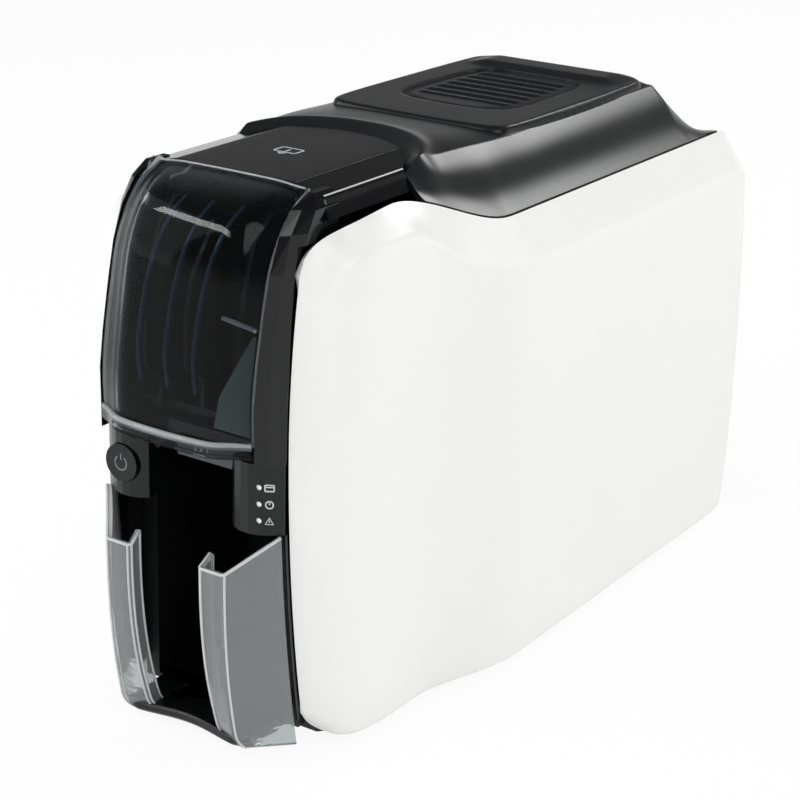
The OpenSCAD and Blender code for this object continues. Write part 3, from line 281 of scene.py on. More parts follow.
def ramp(value: Values, start: Values, end: Values) -> Values:
    """Smooth step from 0 at start to 1 at end."""
    t = np.clip((value - start) / (end - start), 0.0, 1.0)
    return t * t * (3 - 2 * t)


def mix(a: Values, b: Values, t: Values) -> Values:
    """Straight blend from a to b."""
    return a + (b - a) * t


def over(value: Values, length: float) -> Values:
    """How many lengths a value is above zero, and 0 below it."""
    return np.maximum(0.0, value / length)


def points(x: Values, y: Values, z: Values) -> np.ndarray:
    """Joins coordinates of matching shapes into points."""
    return np.stack(np.broadcast_arrays(x, y, z), axis=-1).astype(float)


def quads(rows: int, cols: int, ring: bool = False) -> np.ndarray:
    """Faces of a grid of points.

    Args:
        rows: Number of rows.
        cols: Points in a row.
        ring: Whether each row closes on itself.

    Returns:
        Four vertex indices for each face.
    """
    start, k = np.meshgrid(np.arange(rows - 1) * cols, np.arange(cols if ring else cols - 1), indexing="ij")
    after = (k + 1) % cols
    beyond = start + cols
    return np.stack([start + k, start + after, beyond + after, beyond + k], axis=-1).reshape(-1, 4)


def skin(rings: np.ndarray) -> Mesh:
    """Joins rings of points into a closed body with flat ends.

    Args:
        rings: Rings by corners by 3.

    Returns:
        Vertices and faces.
    """
    rows, count = rings.shape[:2]
    first = list(range(count))
    last = [(rows - 1) * count + k for k in first]
    return rings.reshape(-1, 3), [*quads(rows, count, ring=True).tolist(), first[::-1], last]


def wall_mesh(grid: np.ndarray, wall: float) -> Mesh:
    """Closes a grid of outer points into a wall of even thickness.

    Args:
        grid: Outer points, rows by columns by 3.
        wall: Thickness.

    Returns:
        Vertices and faces of the closed wall.
    """
    down, along = np.gradient(grid, axis=(0, 1))
    way = np.cross(along, down)
    way /= np.maximum(1e-9, np.linalg.norm(way, axis=2, keepdims=True))
    rows, cols = grid.shape[:2]
    index = np.arange(rows * cols).reshape(rows, cols)
    inner = rows * cols
    border = np.concatenate([index[:-1, 0], index[-1, :-1], index[:0:-1, -1], index[0, :0:-1]])
    ahead = np.roll(border, -1)
    outer = quads(rows, cols)
    faces = np.concatenate([outer[:, ::-1], outer[:, [1, 2, 3, 0]] + inner,
                            np.stack([border + inner, ahead + inner, ahead, border], axis=1)])
    return np.concatenate([grid.reshape(-1, 3), (grid + wall * way).reshape(-1, 3)]), faces.tolist()


def curve_through(rows: np.ndarray, per: int, corners: int = 0) -> np.ndarray:
    """Draws a smooth curve through rows of values.

    Args:
        rows: Values to pass through, one row each.
        per: Steps between two rows.
        corners: Number of first gaps that stay straight.

    Returns:
        The denser rows.
    """
    a, b = rows[corners:-1, None], rows[corners + 1:, None]
    before, after = np.concatenate([a[:1], a[:-1]]), np.concatenate([b[1:], b[-1:]])
    t = (np.arange(per) / per)[:, None]
    curve = 0.5 * (2 * a + (b - before) * t + (2 * before - 5 * a + 4 * b - after) * t ** 2
                   + (3 * a - before - 3 * b + after) * t ** 3)
    return np.concatenate([rows[:corners], curve.reshape(-1, rows.shape[1]), rows[-1:]])


def tube(line: np.ndarray, radius: float, sides: int = 10) -> Mesh:
    """Sweeps a circle along a line and closes its ends.

    Args:
        line: Points of the line.
        radius: Radius of the circle.
        sides: Corners of the circle.

    Returns:
        Vertices and faces.
    """
    ways = np.gradient(line, axis=0)
    ways /= np.maximum(1e-9, np.linalg.norm(ways, axis=1, keepdims=True))
    across = np.cross(ways[0], [0.31, 0.17, 0.93])
    firsts = np.empty_like(ways)
    for k, way in enumerate(ways):
        across = across - way * across.dot(way)
        across /= np.linalg.norm(across)
        firsts[k] = across
    seconds = np.cross(ways, firsts)
    turn = (2 * np.pi * np.arange(sides) / sides)[:, None]
    return skin(line[:, None] + radius * (np.cos(turn) * firsts[:, None] + np.sin(turn) * seconds[:, None]))


def rounded(corners: Sequence[Flat], cuts: int = 3) -> np.ndarray:
    """Rounds a mirrored outline by cutting its corners.

    Args:
        corners: Right half of the outline, from the front middle to the rear middle.
        cuts: How often the corners are cut.

    Returns:
        Points of the closed outline.
    """
    half = [c for c in corners if c[0] > 0]
    ring = np.array([*corners, *[(-x, y) for x, y in half[::-1]]], float)
    for _ in range(cuts):
        ahead = np.roll(ring, -1, axis=0)
        ring = np.stack([0.75 * ring + 0.25 * ahead, 0.25 * ring + 0.75 * ahead], axis=1).reshape(-1, 2)
    return ring


def reach_of(ring: np.ndarray, middle: Flat, turns: np.ndarray) -> np.ndarray:
    """Distance from a middle to an outline in several directions.

    Args:
        ring: Points of the closed outline, anticlockwise.
        middle: A point inside it.
        turns: Directions as angles.

    Returns:
        One distance for each direction.
    """
    spread = ring - np.array(middle)
    angles = np.unwrap(np.arctan2(spread[:, 1], spread[:, 0]))
    far = np.linalg.norm(spread, axis=1)
    return np.interp((turns - angles[0]) % (2 * math.pi), np.append(angles - angles[0], 2 * math.pi),
                     np.append(far, far[0]))


def make_piece(name: str, shape: Mesh, finish: Finish, body: Body, stands_for: str = "",
               sharp_over: float = 0.0, smooth: bool = True) -> bpy.types.Object:
    """Makes a mesh object and lets it ride on a body.

    Args:
        name: Name of the piece.
        shape: Vertices in millimetres from the front seam, and faces.
        finish: Finish of the piece.
        body: Body that the piece rides on.
        stands_for: CAD node that it replaces, if any.
        sharp_over: Edges that turn by more degrees are sharp; 0 leaves them as they are.
        smooth: Whether its faces are shaded smooth.

    Returns:
        The new object, at the origin.
    """
    verts, faces = shape
    placed = (np.asarray(verts, float) + np.array([0.0, SEAM_Y, 0.0])) * MM
    mesh = bpy.data.meshes.new(name)
    mesh.from_pydata(placed.tolist(), [], faces)
    mesh.validate()
    mesh.update()
    mesh.polygons.foreach_set("use_smooth", [smooth] * len(mesh.polygons))
    mesh.materials.append(finish.material())
    piece = bpy.data.objects.new(name, mesh)
    bpy.context.scene.collection.objects.link(piece)
    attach(piece, body.value)
    if sharp_over:
        sharpen(piece, sharp_over)
    if stands_for:
        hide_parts(stands_for)
    LOG.info("%s: %d faces on %s", name, len(mesh.polygons), body.value)
    return piece


def sharpen(piece: bpy.types.Object, degrees: float) -> None:
    """Marks edges that turn by more than the angle as sharp."""
    mesh = piece.data
    normals = [p.normal.copy() for p in mesh.polygons]
    owners: dict[tuple[int, int], list[int]] = {}
    for poly in mesh.polygons:
        for key in poly.edge_keys:
            owners.setdefault(key, []).append(poly.index)
    limit = math.cos(math.radians(degrees))
    for edge in mesh.edges:
        sides = owners.get(tuple(sorted(edge.vertices)), [])
        edge.use_edge_sharp = len(sides) != 2 or normals[sides[0]].dot(normals[sides[1]]) < limit


@dataclass
class SidePanels:
    """The two bowed white side panels, finer than the CAD shells but on the same curves."""

    body_half: float = 78.5
    front_half: float = 64.5
    back_y: float = 341.98
    wall: float = 2.4
    seam_x: float = 45.0
    seam_spread: float = 5.0
    rear_seam_x: float = 68.7
    rear_seam_z: float = 206.5
    front_seam_z: float = 219.0
    front_bevel_z: float = 212.0
    rear_bevel_z: float = 188.0
    bottom: float = 3.0
    bow_z: float = 135.0
    bow_front: float = 0.6
    lean_z: float = 75.0
    nose: float = 10.5
    nose_y: float = 7.0
    nose_fade: float = 7.5
    corner_y: float = 19.0
    corner_drop: float = 14.0
    flare: Flat = (66.0, 128.0)
    top_flare: Flat = (58.0, 124.0)
    top_fall: Flat = (58.0, 118.0)
    bevel_fall: Flat = (52.0, 108.0)
    bow_fade: Flat = (20.0, 60.0)
    lean_start: float = 262.0
    foot_r: float = 5.0

    def front_curve(self, z: Values) -> Values:
        """Bow of the front seam at a height."""
        return np.where(z < self.bow_z, 0.00072, 0.00125) * (z - self.bow_z) ** 2 - self.bow_front

    def rear_curve(self, z: Values) -> Values:
        """Lean of the rear edge at a height."""
        return self.back_y - np.where(z > self.lean_z, 0.00062, 0.0011) * (z - self.lean_z) ** 2

    def near_back(self, y: Values, length: float) -> Values:
        """Square of the share of a length before the back that lies behind a depth."""
        return over(y - self.back_y + length, length) ** 2

    def outer_x(self, y: Values) -> Values:
        """Half width of the outer face at a depth."""
        corner = mix(self.seam_x, self.front_half - self.nose, y / self.nose_y)
        side = (self.front_half - self.nose * np.exp((self.nose_y - y) / self.nose_fade)
                + (self.body_half - self.front_half) * ramp(y, *self.flare) - 6 * self.near_back(y, 7))
        return np.where(y < self.nose_y, corner, side)

    def top_x(self, y: Values) -> Values:
        """Half width at the top seam."""
        front = self.seam_x + self.seam_spread
        return mix(self.seam_x, front, ramp(y, 0, 18)) + (self.rear_seam_x - front) * ramp(y, *self.top_flare)

    def top_z(self, y: Values) -> Values:
        """Height of the top seam."""
        round_off = 1 - np.sqrt(1 - np.minimum(1, over(self.corner_y - y, self.corner_y)) ** 2)
        return (mix(self.front_seam_z + 0.06 * (y - 18), self.rear_seam_z, ramp(y, *self.top_fall))
                - self.corner_drop * round_off - 15 * self.near_back(y, 14))

    def bevel_z(self, y: Values) -> Values:
        """Height of the lower line of the top bevel."""
        return (mix(self.front_bevel_z, self.rear_bevel_z, ramp(y, *self.bevel_fall))
                - 15 * np.exp(-over(y - 6, 6)) - 10 * self.near_back(y, 14))

    def bottom_z(self, y: Values) -> Values:
        """Height of the bottom seam."""
        return self.bottom + 14 * over(14 - y, 14) ** 2 + 6 * self.near_back(y, 12)

    def grid(self) -> np.ndarray:
        """Samples the outer face finely from front to back and bottom to top.

        Returns:
            Columns by rows by 3.
        """
        ys = np.concatenate([np.linspace(0, 7, 5)[:-1], 7 + 57 * np.linspace(0, 1, 22) ** 1.5,
                             np.arange(67, 131, 3.0), np.linspace(140, 290, 12),
                             np.linspace(296, 326, 8), np.linspace(328, self.back_y, 9)])[:, None]
        low, bevel, top, out = self.bottom_z(ys), self.bevel_z(ys), self.top_z(ys), self.outer_x(ys)
        foot = np.maximum(self.seam_x - 0.5, out - 6.5)
        seam = np.minimum(out, self.top_x(ys))
        bend = np.minimum(1.6, 0.3 * np.abs(out - seam) + 0.2)
        turn, face = np.linspace(0, math.pi / 2, 6), np.linspace(0, 1, 26)[1:-1]
        fold, rise = np.linspace(0, 1, 5), np.linspace(0, 1, 8)[1:]
        fold_x, fold_z = mix(out, mix(out, seam, 0.09), fold ** 2), bevel - bend + 2 * bend * fold
        x = np.hstack([mix(foot, out, np.sin(turn)), out + 0 * face, fold_x, mix(fold_x[:, -1:], seam, rise)])
        z = np.hstack([low + self.foot_r * (1 - np.cos(turn)), mix(low + self.foot_r, bevel, face), fold_z,
                       mix(fold_z[:, -1:], top, rise)])
        shift = ((self.front_curve(z) + self.bow_front) * (1 - ramp(ys, *self.bow_fade))
                 - (self.back_y - self.rear_curve(z)) * ramp(ys, self.lean_start, self.back_y - 10))
        return points(x, ys + shift, z)

    def build(self) -> None:
        """Makes both panels and stands them in for the CAD shells."""
        verts, faces = wall_mesh(self.grid(), self.wall)
        left = verts * [-1.0, 1.0, 1.0], [face[::-1] for face in faces]
        for name, shape in (("right", (verts, faces)), ("left", left)):
            make_piece(f"panel_{name}", shape, WHITE, Body.PRINTER, f"{name}_side_panel", 16)


@dataclass
class Lid:
    """The opening lid: a shell with an arched front edge."""

    panels: SidePanels
    height: float = 236.4
    crown: float = 233.0
    front: float = 78.0
    rear: float = 321.0
    slope: float = 284.0
    gap: float = 0.6
    shoulder: float = 43.0
    deck_half: float = 47.0
    arch_centre: float = 57.3
    arch_r: float = 47.7
    wall: float = 2.6
    rear_drop: float = 2.4
    top_share: float = 0.66
    swell: float = 0.045
    roll: float = 11.0
    drop: float = 5.0
    ridge: float = 2.0
    ridge_width: float = 5.5
    flare: Flat = (78.0, 140.0)
    flatten: Flat = (112.0, 160.0)
    tuck: Flat = (290.0, 312.0)
    hole_half: float = 25.0
    hole: Flat = (184.0, 252.0)

    def top_z(self, y: Values) -> Values:
        """Height of the lid's middle line."""
        fall = np.interp(y, [self.slope, 297, 309, self.rear], [self.crown, 222, 211, 204])
        top = mix(self.height - self.ridge, self.crown, ramp(y, *self.flatten))
        return np.where(y > self.slope, fall, top)

    def arch_y(self, x: Values) -> Values:
        """Front edge in plan."""
        return np.where(x < self.shoulder, self.arch_centre + np.sqrt(self.arch_r ** 2 - x * x), self.front)

    def face(self, t: Values, s: Values) -> np.ndarray:
        """Points of the outer face.

        Args:
            t: 0 at the front edge, 1 at the rear.
            s: 0 in the middle, -1 and 1 at the lower edges.

        Returns:
            The points.
        """
        share = np.abs(s)
        a = np.minimum(1.0, share / self.top_share)
        b = over(share - self.top_share, 1 - self.top_share)
        start = self.arch_y(self.shoulder * a)
        y = mix(start, self.rear, t)
        behind = t * (self.rear - start)
        lift = self.ridge * np.exp(-((behind - self.roll) / self.ridge_width) ** 2)
        lift -= self.drop * (1 - ramp(behind, -self.roll * 0.35, self.roll))
        top_x = mix(self.shoulder, self.deck_half, ramp(y, *self.flare)) * a
        seam_x = np.minimum(self.panels.top_x(y), self.panels.rear_seam_x)
        edge_x = seam_x - self.gap - self.wall * ramp(y, *self.tuck)
        edge_z = self.panels.top_z(y) + 0.8 - 1.6 * ramp(y, 300, self.rear)
        x = mix(top_x, edge_x, b + self.swell * np.sin(2 * math.pi * b))
        z = mix(self.top_z(y) - 2 * a ** 5, edge_z, b) + lift * (1 - b)
        return points(np.sign(s) * x, y, z)

    def grid(self) -> np.ndarray:
        """Samples the shell.

        Returns:
            Columns across by rows along by 3.
        """
        half = np.concatenate([np.linspace(0, 0.5, 14), np.linspace(0.53, self.top_share, 8),
                               self.top_share + (1 - self.top_share) * np.linspace(0.04, 1, 16) ** 1.2])
        sides = np.concatenate([-half[::-1], half[1:]])[:, None]
        along = np.concatenate([0.024 * np.linspace(0, 1, 10) ** 1.6, np.linspace(0.03, 0.36, 34),
                                np.linspace(0.38, 0.78, 14), np.linspace(0.79, 0.995, 30), [1.0]])
        grid = self.face(along, sides)
        grid[:, -1, 2] -= self.rear_drop
        return grid

    def build(self) -> None:
        """Makes the shell, with the well for the button cut out of it."""
        verts, faces = wall_mesh(self.grid(), self.wall)
        x, y = verts[np.array(faces)].mean(axis=1)[:, :2].T
        outside = (np.abs(x) >= self.hole_half) | (y <= self.hole[0]) | (y >= self.hole[1])
        kept = [face for face, stays in zip(faces, outside) if stays]
        make_piece("lid_outer", (verts, kept), LID_BLACK, Body.LID, "lid_shell", 62)


@dataclass
class LidDeck:
    """Raised deck of the lid with drafted sides, a well and a sloped block."""

    middle: Flat = (0.0, 217.0)
    top: float = 234.4
    foot: float = 230.6
    block: float = 1.8
    outline: tuple[Flat, ...] = (
        (0, 146.5), (26, 147), (43, 149), (46, 160), (46.4, 200), (46, 262), (44, 282.5), (0, 283))
    well: tuple[Flat, ...] = (
        (0, 174.5), (20, 175.5), (31, 184), (31, 215), (29, 255.6), (0, 256))

    def hump(self, x: Values, y: Values) -> Values:
        """Height of the block behind the button above the deck."""
        return self.block * ramp(y, 255, 263) * (1 - ramp(y, 274, 284)) * (1 - ramp(np.abs(x), 31, 43))

    def build(self) -> None:
        """Makes the deck and stands it in for the CAD one."""
        turns = np.linspace(0, 2 * math.pi, 288, endpoint=False)
        outer = reach_of(rounded(self.outline), self.middle, turns)
        inner = reach_of(rounded(self.well), self.middle, turns)
        loops = [(outer + 1.6, self.foot), (outer + 0.9, self.foot + 1.6), (outer + 0.1, self.top - 0.6),
                 (outer - 0.7, self.top - 0.12), (outer - 1.8, self.top)]
        loops += [(mix(outer - 1.8, inner + 0.8, t), self.top) for t in np.linspace(0, 1, 22)[1:]]
        loops += [(inner + 0.2, self.top - 0.15), (inner, self.top - 0.6), (inner - 0.2, self.foot)]
        reach = np.array([far for far, _ in loops])
        z = np.array([height for _, height in loops])[:, None]
        x, y = self.middle[0] + np.cos(turns) * reach, self.middle[1] + np.sin(turns) * reach
        verts = points(x, y, z + np.where(z > self.foot + 2, self.hump(x, y), 0.0)).reshape(-1, 3)
        faces = quads(len(loops) + 1, len(turns), ring=True) % len(verts)
        make_piece("deck_outer", (verts, faces.tolist()), DECK_BLACK, Body.LID, "lid_deck", 40)


@dataclass
class ReleasePad:
    """Shield-shaped release button with finger ribs."""

    front: float = 177.0
    back: float = 253.6
    half: float = 28.6
    taper: float = 2.0
    nose: float = 20.0
    top: float = 233.9
    foot: float = 229.5
    rib: float = 0.9
    pitch: float = 8.6
    margin: float = 12.0
    stem: tuple[Point, ...] = ((0, 232, 216), (0, 232, 224), (0, 232, 230.5))
    stem_r: float = 4.0

    def width(self, y: Values) -> Values:
        """Half width at a depth."""
        ahead = over(self.front + self.nose - y, self.nose)
        full = self.half - self.taper * ramp(y, 215, self.back)
        return full * np.maximum(0.0, 1 - ahead ** 3) ** (1 / 2.4)

    def height(self, x: Values, y: Values, wide: Values) -> Values:
        """Height of the top with its ribs."""
        start = self.front + self.margin
        inside = (1 - ramp(np.abs(x), wide - 5.5, wide - 4)) * ramp(y, start - 1, start + 1)
        phase = ((y - start) / self.pitch) % 1.0
        tooth = self.rib * ramp(phase, 0.0, 0.22) * (1 - ramp(phase, 0.3, 1.0)) * (y < self.back - 4)
        return self.top + (tooth - 0.5) * inside - 0.7 * (np.abs(x) / np.maximum(wide, 0.1)) ** 10

    def build(self) -> None:
        """Makes the pad in place of the CAD button's top, and its stem."""
        y = np.concatenate([self.front + 0.05 + 3 * np.linspace(0, 1, 8) ** 2,
                            np.arange(self.front + 4, self.back, 0.7), [self.back]])[:, None]
        wide = self.width(y)
        x = np.sin(np.linspace(-math.pi / 2, math.pi / 2, 41)) * wide
        fall = 0.7 * over(self.front + 1.5 - y, 1.5) ** 2 + 0.5 * over(y - self.back + 1.2, 1.2) ** 2
        ends = ((0, 0), (1, 1))
        z = np.pad(self.height(x, y, wide) - fall, ends, constant_values=self.foot)
        pad = skin(points(np.pad(x, ends, mode="edge"), y, z))
        make_piece("release_pad", pad, DECK_BLACK, Body.BUTTON, "release_button", 38)
        stem = tube(np.array(self.stem, float), self.stem_r, 24)
        make_piece("release_stem", stem, DECK_BLACK, Body.BUTTON, sharp_over=32)


@dataclass
class HopperTop:
    """Glossy top of the card hopper, with soft edges along its chamfers."""

    crown: float = 233.9
    start: float = 21.9
    arch_centre: float = 57.3
    arch_r: float = 47.3
    arch_half: float = 42.6
    side_end: float = 77.6
    wall: float = 2.0
    edge: float = 1.2
    edge_drop: float = 0.9
    half: tuple[Flat, ...] = (
        (0, 0.0), (10, 0.0), (20, 0.0), (28.6, -0.05), (29.6, -0.15), (30.6, -0.4), (36, -1.55),
        (41.6, -2.75), (42.6, -3.1), (43.3, -3.9), (44.6, -7.2), (46.2, -10.2), (47.0, -11.6))

    def build(self) -> None:
        """Makes the top and stands it in for the CAD cover."""
        right = curve_through(np.array(self.half, float), 3)
        across = np.concatenate([right[::-1] * [-1, 1], right[1:]])
        x, dz = across[:, :1], across[:, 1:]
        shares = np.concatenate([[0, 0.008, 0.02, 0.04], np.linspace(0.08, 0.985, 22), [1.0]])
        arch = self.arch_centre + np.sqrt(self.arch_r ** 2 - x * x)
        y = mix(self.start, np.where(np.abs(x) < self.arch_half, arch, self.side_end), shares)
        z = self.crown + dz - self.edge_drop * over(self.start + self.edge - y, self.edge) ** 2
        top = wall_mesh(points(x, y, z), self.wall)
        make_piece("hopper_top_outer", top, GLOSS_BLACK, Body.PRINTER, "hopper_top", 50)


@dataclass
class HopperCover:
    """The smoke cover of the card hopper with its thick lip.

    Each row holds its height, its front in the middle and at the side, and how far its corners drop. Each
    column holds its place across and its share of the way from the middle to the side.
    """

    reach: float = 22.0
    half: float = 37.6
    wall: float = 2.0
    lip: Flat = (134.5, 139.0)
    cheek_depths: tuple[float, ...] = (8.0, 5.0, 2.0)
    cheek_fade: Flat = (205.0, 234.0)
    rows: tuple[tuple[float, float, float, float], ...] = (
        (133, 0.0, -12.0, 0), (134, -1.6, -13.6, 0), (138.5, -2.0, -14.2, 0), (140, 0.4, -12.8, 0),
        (155, 0.8, -12.9, 0), (170, 2.6, -11, 0), (190, 5.2, -7.1, 0), (205, 8, -3.6, 0.4),
        (216, 12, 1.2, 1), (224, 17.4, 6.4, 1.8), (229.5, 24.4, 12, 2), (232.5, 33, 17, 2),
        (234, 43.2, 21.2, 1.4))
    columns: tuple[Flat, ...] = (
        (-1, 1), (-0.82, 0.62), (-0.64, 0.2), (-0.4, 0.06), (0, 0), (0.4, 0.06), (0.64, 0.2),
        (0.82, 0.62), (1, 1))

    def front(self, row: np.ndarray, place: Values, share: Values, inset: float = 0.0,
              push: float = 0.0) -> np.ndarray:
        """Points across the front, for one row or for all."""
        z, middle, flank, drop = row
        y = mix(middle - self.reach, flank, share) + push
        return points(place * (self.half - inset), y, z - share * drop)

    def build(self) -> None:
        """Makes the cover."""
        rows = curve_through(np.array(self.rows, float), 7, corners=3)
        cols = curve_through(np.array(self.columns, float), 6)
        face = self.front(rows.T, cols[:, :1], cols[:, 1:])
        z, _, flank, drop = rows.T
        depth = np.array(self.cheek_depths)[:, None]
        cheek = points(self.half - 0.01 * depth, flank + depth * (1 - ramp(z, *self.cheek_fade)), z - drop)
        grid = np.concatenate([cheek * [-1, 1, 1], face, cheek[::-1]])
        cover = wall_mesh(grid, self.wall)
        make_piece("cover_clear", cover, SMOKE, Body.COVER, "smoke_cover", 35)
        self.rim(rows, cols)

    def rim(self, rows: np.ndarray, cols: np.ndarray) -> None:
        """Adds pale clear tubes along the cover's lip and edges: the lip tube is partly the real thick lip
        and partly a painted highlight, and the edge tubes are painted highlights.

        Args:
            rows: Height, front at the middle, front at the side and drop of each row.
            cols: Place across and share of each column.
        """
        lip = rows[(rows[:, 0] >= self.lip[0]) & (rows[:, 0] <= self.lip[1])]
        # The lip tube is partly the real thick lip and partly a painted highlight; the top edge tube is a
        # painted highlight line.
        pieces = [("cover_lip", self.front(lip[len(lip) // 2], *cols.T, 0.8, 1.45), 1.5),
                  ("cover_top_edge", self.front(rows[-1], *cols.T, 0.8, 0.4), 0.55)]
        z, _, flank, drop = rows[3:].T
        # The left edge tube is much thicker than the right one: a painted highlight for light passing through
        # the cover's left side.
        for side, name, radius in ((-1.0, "left", 1.7), (1.0, "right", 0.6)):
            edge = points(side * (self.half + 0.1 - radius), flank + 0.2 + radius, z - drop)
            pieces.append((f"cover_edge_{name}", edge, radius))
        for name, line, radius in pieces:
            make_piece(name, tube(line, radius), RIM_AND_HIGHLIGHT, Body.COVER)


@dataclass
class HopperFins:
    """Thin curved dividers that show through the cover."""

    places: tuple[float, ...] = (-17.5, -4.0, 10.0)
    thick: float = 0.9
    depth: float = 3.0
    lean: float = 0.1
    lean_z: float = 190.0
    spine: tuple[Flat, ...] = (
        (-9, 152), (-12, 165), (-11.5, 180), (-9, 195), (-4, 209), (4, 219), (12, 224))

    def build(self) -> None:
        """Makes the dividers as curved strips."""
        y, z = curve_through(np.array(self.spine, float), 5).T[:, :, None]
        dx = np.array([-0.5, 0.5, 0.5, -0.5]) * self.thick
        dy = np.array([0.0, 0.0, 1.0, 1.0]) * self.depth
        for k, x in enumerate(self.places):
            strip = skin(points(x + (z - self.lean_z) * self.lean + dx, y + dy, z - 0.2 * dy))
            make_piece(f"hopper_fin_{k}", strip, FIN_BLUE, Body.PRINTER)


@dataclass(frozen=True)
class CoilSpring:
    """A wire spring coiled between two points."""

    name: str
    node: str
    joint: str
    start: Point
    end: Point
    radius: float
    turns: float
    wire: float
    body: Body
    keep: float

    def build(self) -> None:
        """Makes the coil between its start and its end."""
        first, last = np.array(self.start, float), np.array(self.end, float)
        way = (last - first) / np.linalg.norm(last - first)
        across = np.cross(way, [0.0, 1.0, 0.0])
        other = np.cross(way, across)
        t = np.linspace(0, 1, int(self.turns * 24) + 1)[:, None]
        turn = 2 * math.pi * self.turns * t
        line = (mix(first + way * self.wire, last - way * self.wire, t)
                + self.radius * (np.cos(turn) * across + np.sin(turn) * other))
        coil = make_piece(self.name, tube(line, self.wire, 8), STEEL, self.body, self.node)
        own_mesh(coil)


SPRINGS = (
    CoilSpring("release_coil", "button_spring", "release_press", start=(0, 232, 231), end=(0, 232, 219.5),
               radius=5.6, turns=5.0, wire=0.5, body=Body.LID, keep=0.72),
    CoilSpring("pusher_coil", "pusher_spring", "pusher_slide", start=(6.3, 62, 207), end=(23.7, 62, 207),
               radius=4.0, turns=8.0, wire=0.35, body=Body.PRINTER, keep=0.135),
)


@dataclass
class StackGuide:
    """Slanted guide beside the card stack, which shows through the cover."""

    rear: float = -6.4
    thick: float = 1.6
    outline: tuple[Flat, ...] = (
        (35.0, 180.6), (35.0, 140.0), (14.6, 140.0), (17.4, 153.4), (33.4, 180.6))
    bar: tuple[Flat, ...] = ((18.6, 186.0), (34.8, 183.9), (34.8, 182.8), (18.6, 184.8))

    def build(self) -> None:
        """Makes the guide and the thin bar above it."""
        for name, ring, finish in (("stack_guide", self.outline, GUIDE), ("stack_bar", self.bar, EDGE)):
            x, z = np.array(ring, float).T
            plate = skin(points(x, np.array([[self.rear - self.thick], [self.rear]]), z))
            make_piece(name, plate, finish, Body.PRINTER, smooth=False)


@dataclass
class WingEdges:
    """Pale lines along the edges of the two clear wings: painted highlights where the clear edges catch the
    light.
    """

    panels: SidePanels
    top: float = 86.0
    foot: float = 3.6
    inner: float = 17.4
    outer: float = 29.6
    reach: float = 22.0
    rear_top: float = 99.6
    seam_x: float = 44.4
    seam_gap: float = 4.0
    radius: float = 0.5
    rim_radius: float = 0.65
    proud: float = 0.15
    sweeps: Flat = (14.0, 9.5)
    edged: tuple[int, ...] = (0, 1, 2, 4)

    def front(self, z: Values, sweep: float) -> Values:
        """Front of a wing at a height."""
        down = over(self.top - z, self.top - 3)
        return 0.4 - self.reach + sweep * down ** 2.4 + 5 * over(13 - z, 10) ** 2

    def column(self, number: int, t: Values) -> np.ndarray:
        """Points up the right wing's outside.

        Args:
            number: 0 at the inner flange to 8 at the seam.
            t: 0 at the foot, 1 at the top.

        Returns:
            The points.
        """
        share = max(0.0, (number - 4) / 4)
        high = mix(self.top, self.rear_top, share) + (4 if number == 0 else 0)
        z = mix(self.foot, high, t)
        near, far = (self.front(z, sweep) for sweep in self.sweeps)
        seam = self.panels.front_curve(z) - self.seam_gap
        places = [(self.inner + 0.6, near + 7), (self.inner, near + 1.2), (self.inner + 1.2, near),
                  (self.outer - 1.2, far), (self.outer + 0.3, far + 0.8)]
        x, y = places[min(number, 4)]
        return points(mix(x, self.seam_x, share), mix(y, seam, share) - self.proud, z)

    def build(self) -> None:
        """Makes the painted highlight lines along both wings."""
        ups = np.concatenate([np.linspace(0, 0.14, 10), np.linspace(0.16, 1, 26)])
        lines = {f"edge_{k}": (self.column(k, ups), self.radius) for k in self.edged}
        lines["rim"] = (np.array([self.column(k, 1.0) for k in range(9)]), self.rim_radius)
        for side, name in ((-1.0, "left"), (1.0, "right")):
            for part, (line, radius) in lines.items():
                edge = tube(line * [side, 1, 1], radius, 8)
                make_piece(f"wing_{name}_{part}", edge, EDGE, Body.PRINTER)


@dataclass
class BaseApron:
    """Dark ledge of the base between the two wings."""

    half: float = 31.0
    low: float = 4.4
    high: float = 9.0
    rear: float = 22.0
    front: float = -11.5
    dip: float = 4.0

    def build(self) -> None:
        """Makes the ledge with its hollow front edge."""
        x = np.linspace(-self.half, self.half, 33)
        rim = (self.front + self.dip * np.cos(math.pi * x / (2 * self.half)) ** 2
               + 4.0 * over(np.abs(x) - 24, 7) ** 2)
        section = ((self.rear, self.low), (self.rear, self.high), (rim + 0.8, self.high),
                   (rim, self.high - 0.8), (rim, self.low + 1.5), (rim + 1.5, self.low))
        ledge = skin(np.stack([points(x, y, z) for y, z in section], axis=1))
        make_piece("base_ledge", ledge, SATIN_BLACK, Body.PRINTER, sharp_over=35)


def arc(cx: float, cy: float, r: float, start: float, end: float, steps: int = 24) -> np.ndarray:
    """Points on an arc, with angles in degrees."""
    turn = np.radians(np.linspace(start, end, steps + 1))
    return np.stack([cx + r * np.cos(turn), cy + r * np.sin(turn)], axis=1)


def card_outline(w: float, h: float, r: float) -> np.ndarray:
    """Closed outline of a small card with round corners."""
    corners = [arc(sx * (w / 2 - r), sy * (h / 2 - r), r, a, a + 90, 5)
               for sx, sy, a in ((1, 1, 0), (-1, 1, 90), (-1, -1, 180), (1, -1, 270))]
    return np.concatenate([*corners, corners[0][:1]])


@dataclass(frozen=True)
class Stroke:
    """A line of a symbol and its width."""

    line: Sequence[Flat] | np.ndarray
    width: float

    def ribbon(self) -> np.ndarray:
        """Widens the line in its plane.

        Returns:
            The right edge, then the left edge, as flat points.
        """
        line = np.array(self.line, float)
        way = np.gradient(line, axis=0)
        if np.allclose(line[0], line[-1]):
            way[0] = way[-1] = line[1] - line[-2]
        way /= np.maximum(1e-9, np.linalg.norm(way, axis=1, keepdims=True))
        side = np.stack([-way[:, 1], way[:, 0]], axis=1) * self.width / 2
        return np.concatenate([line - side, line + side])


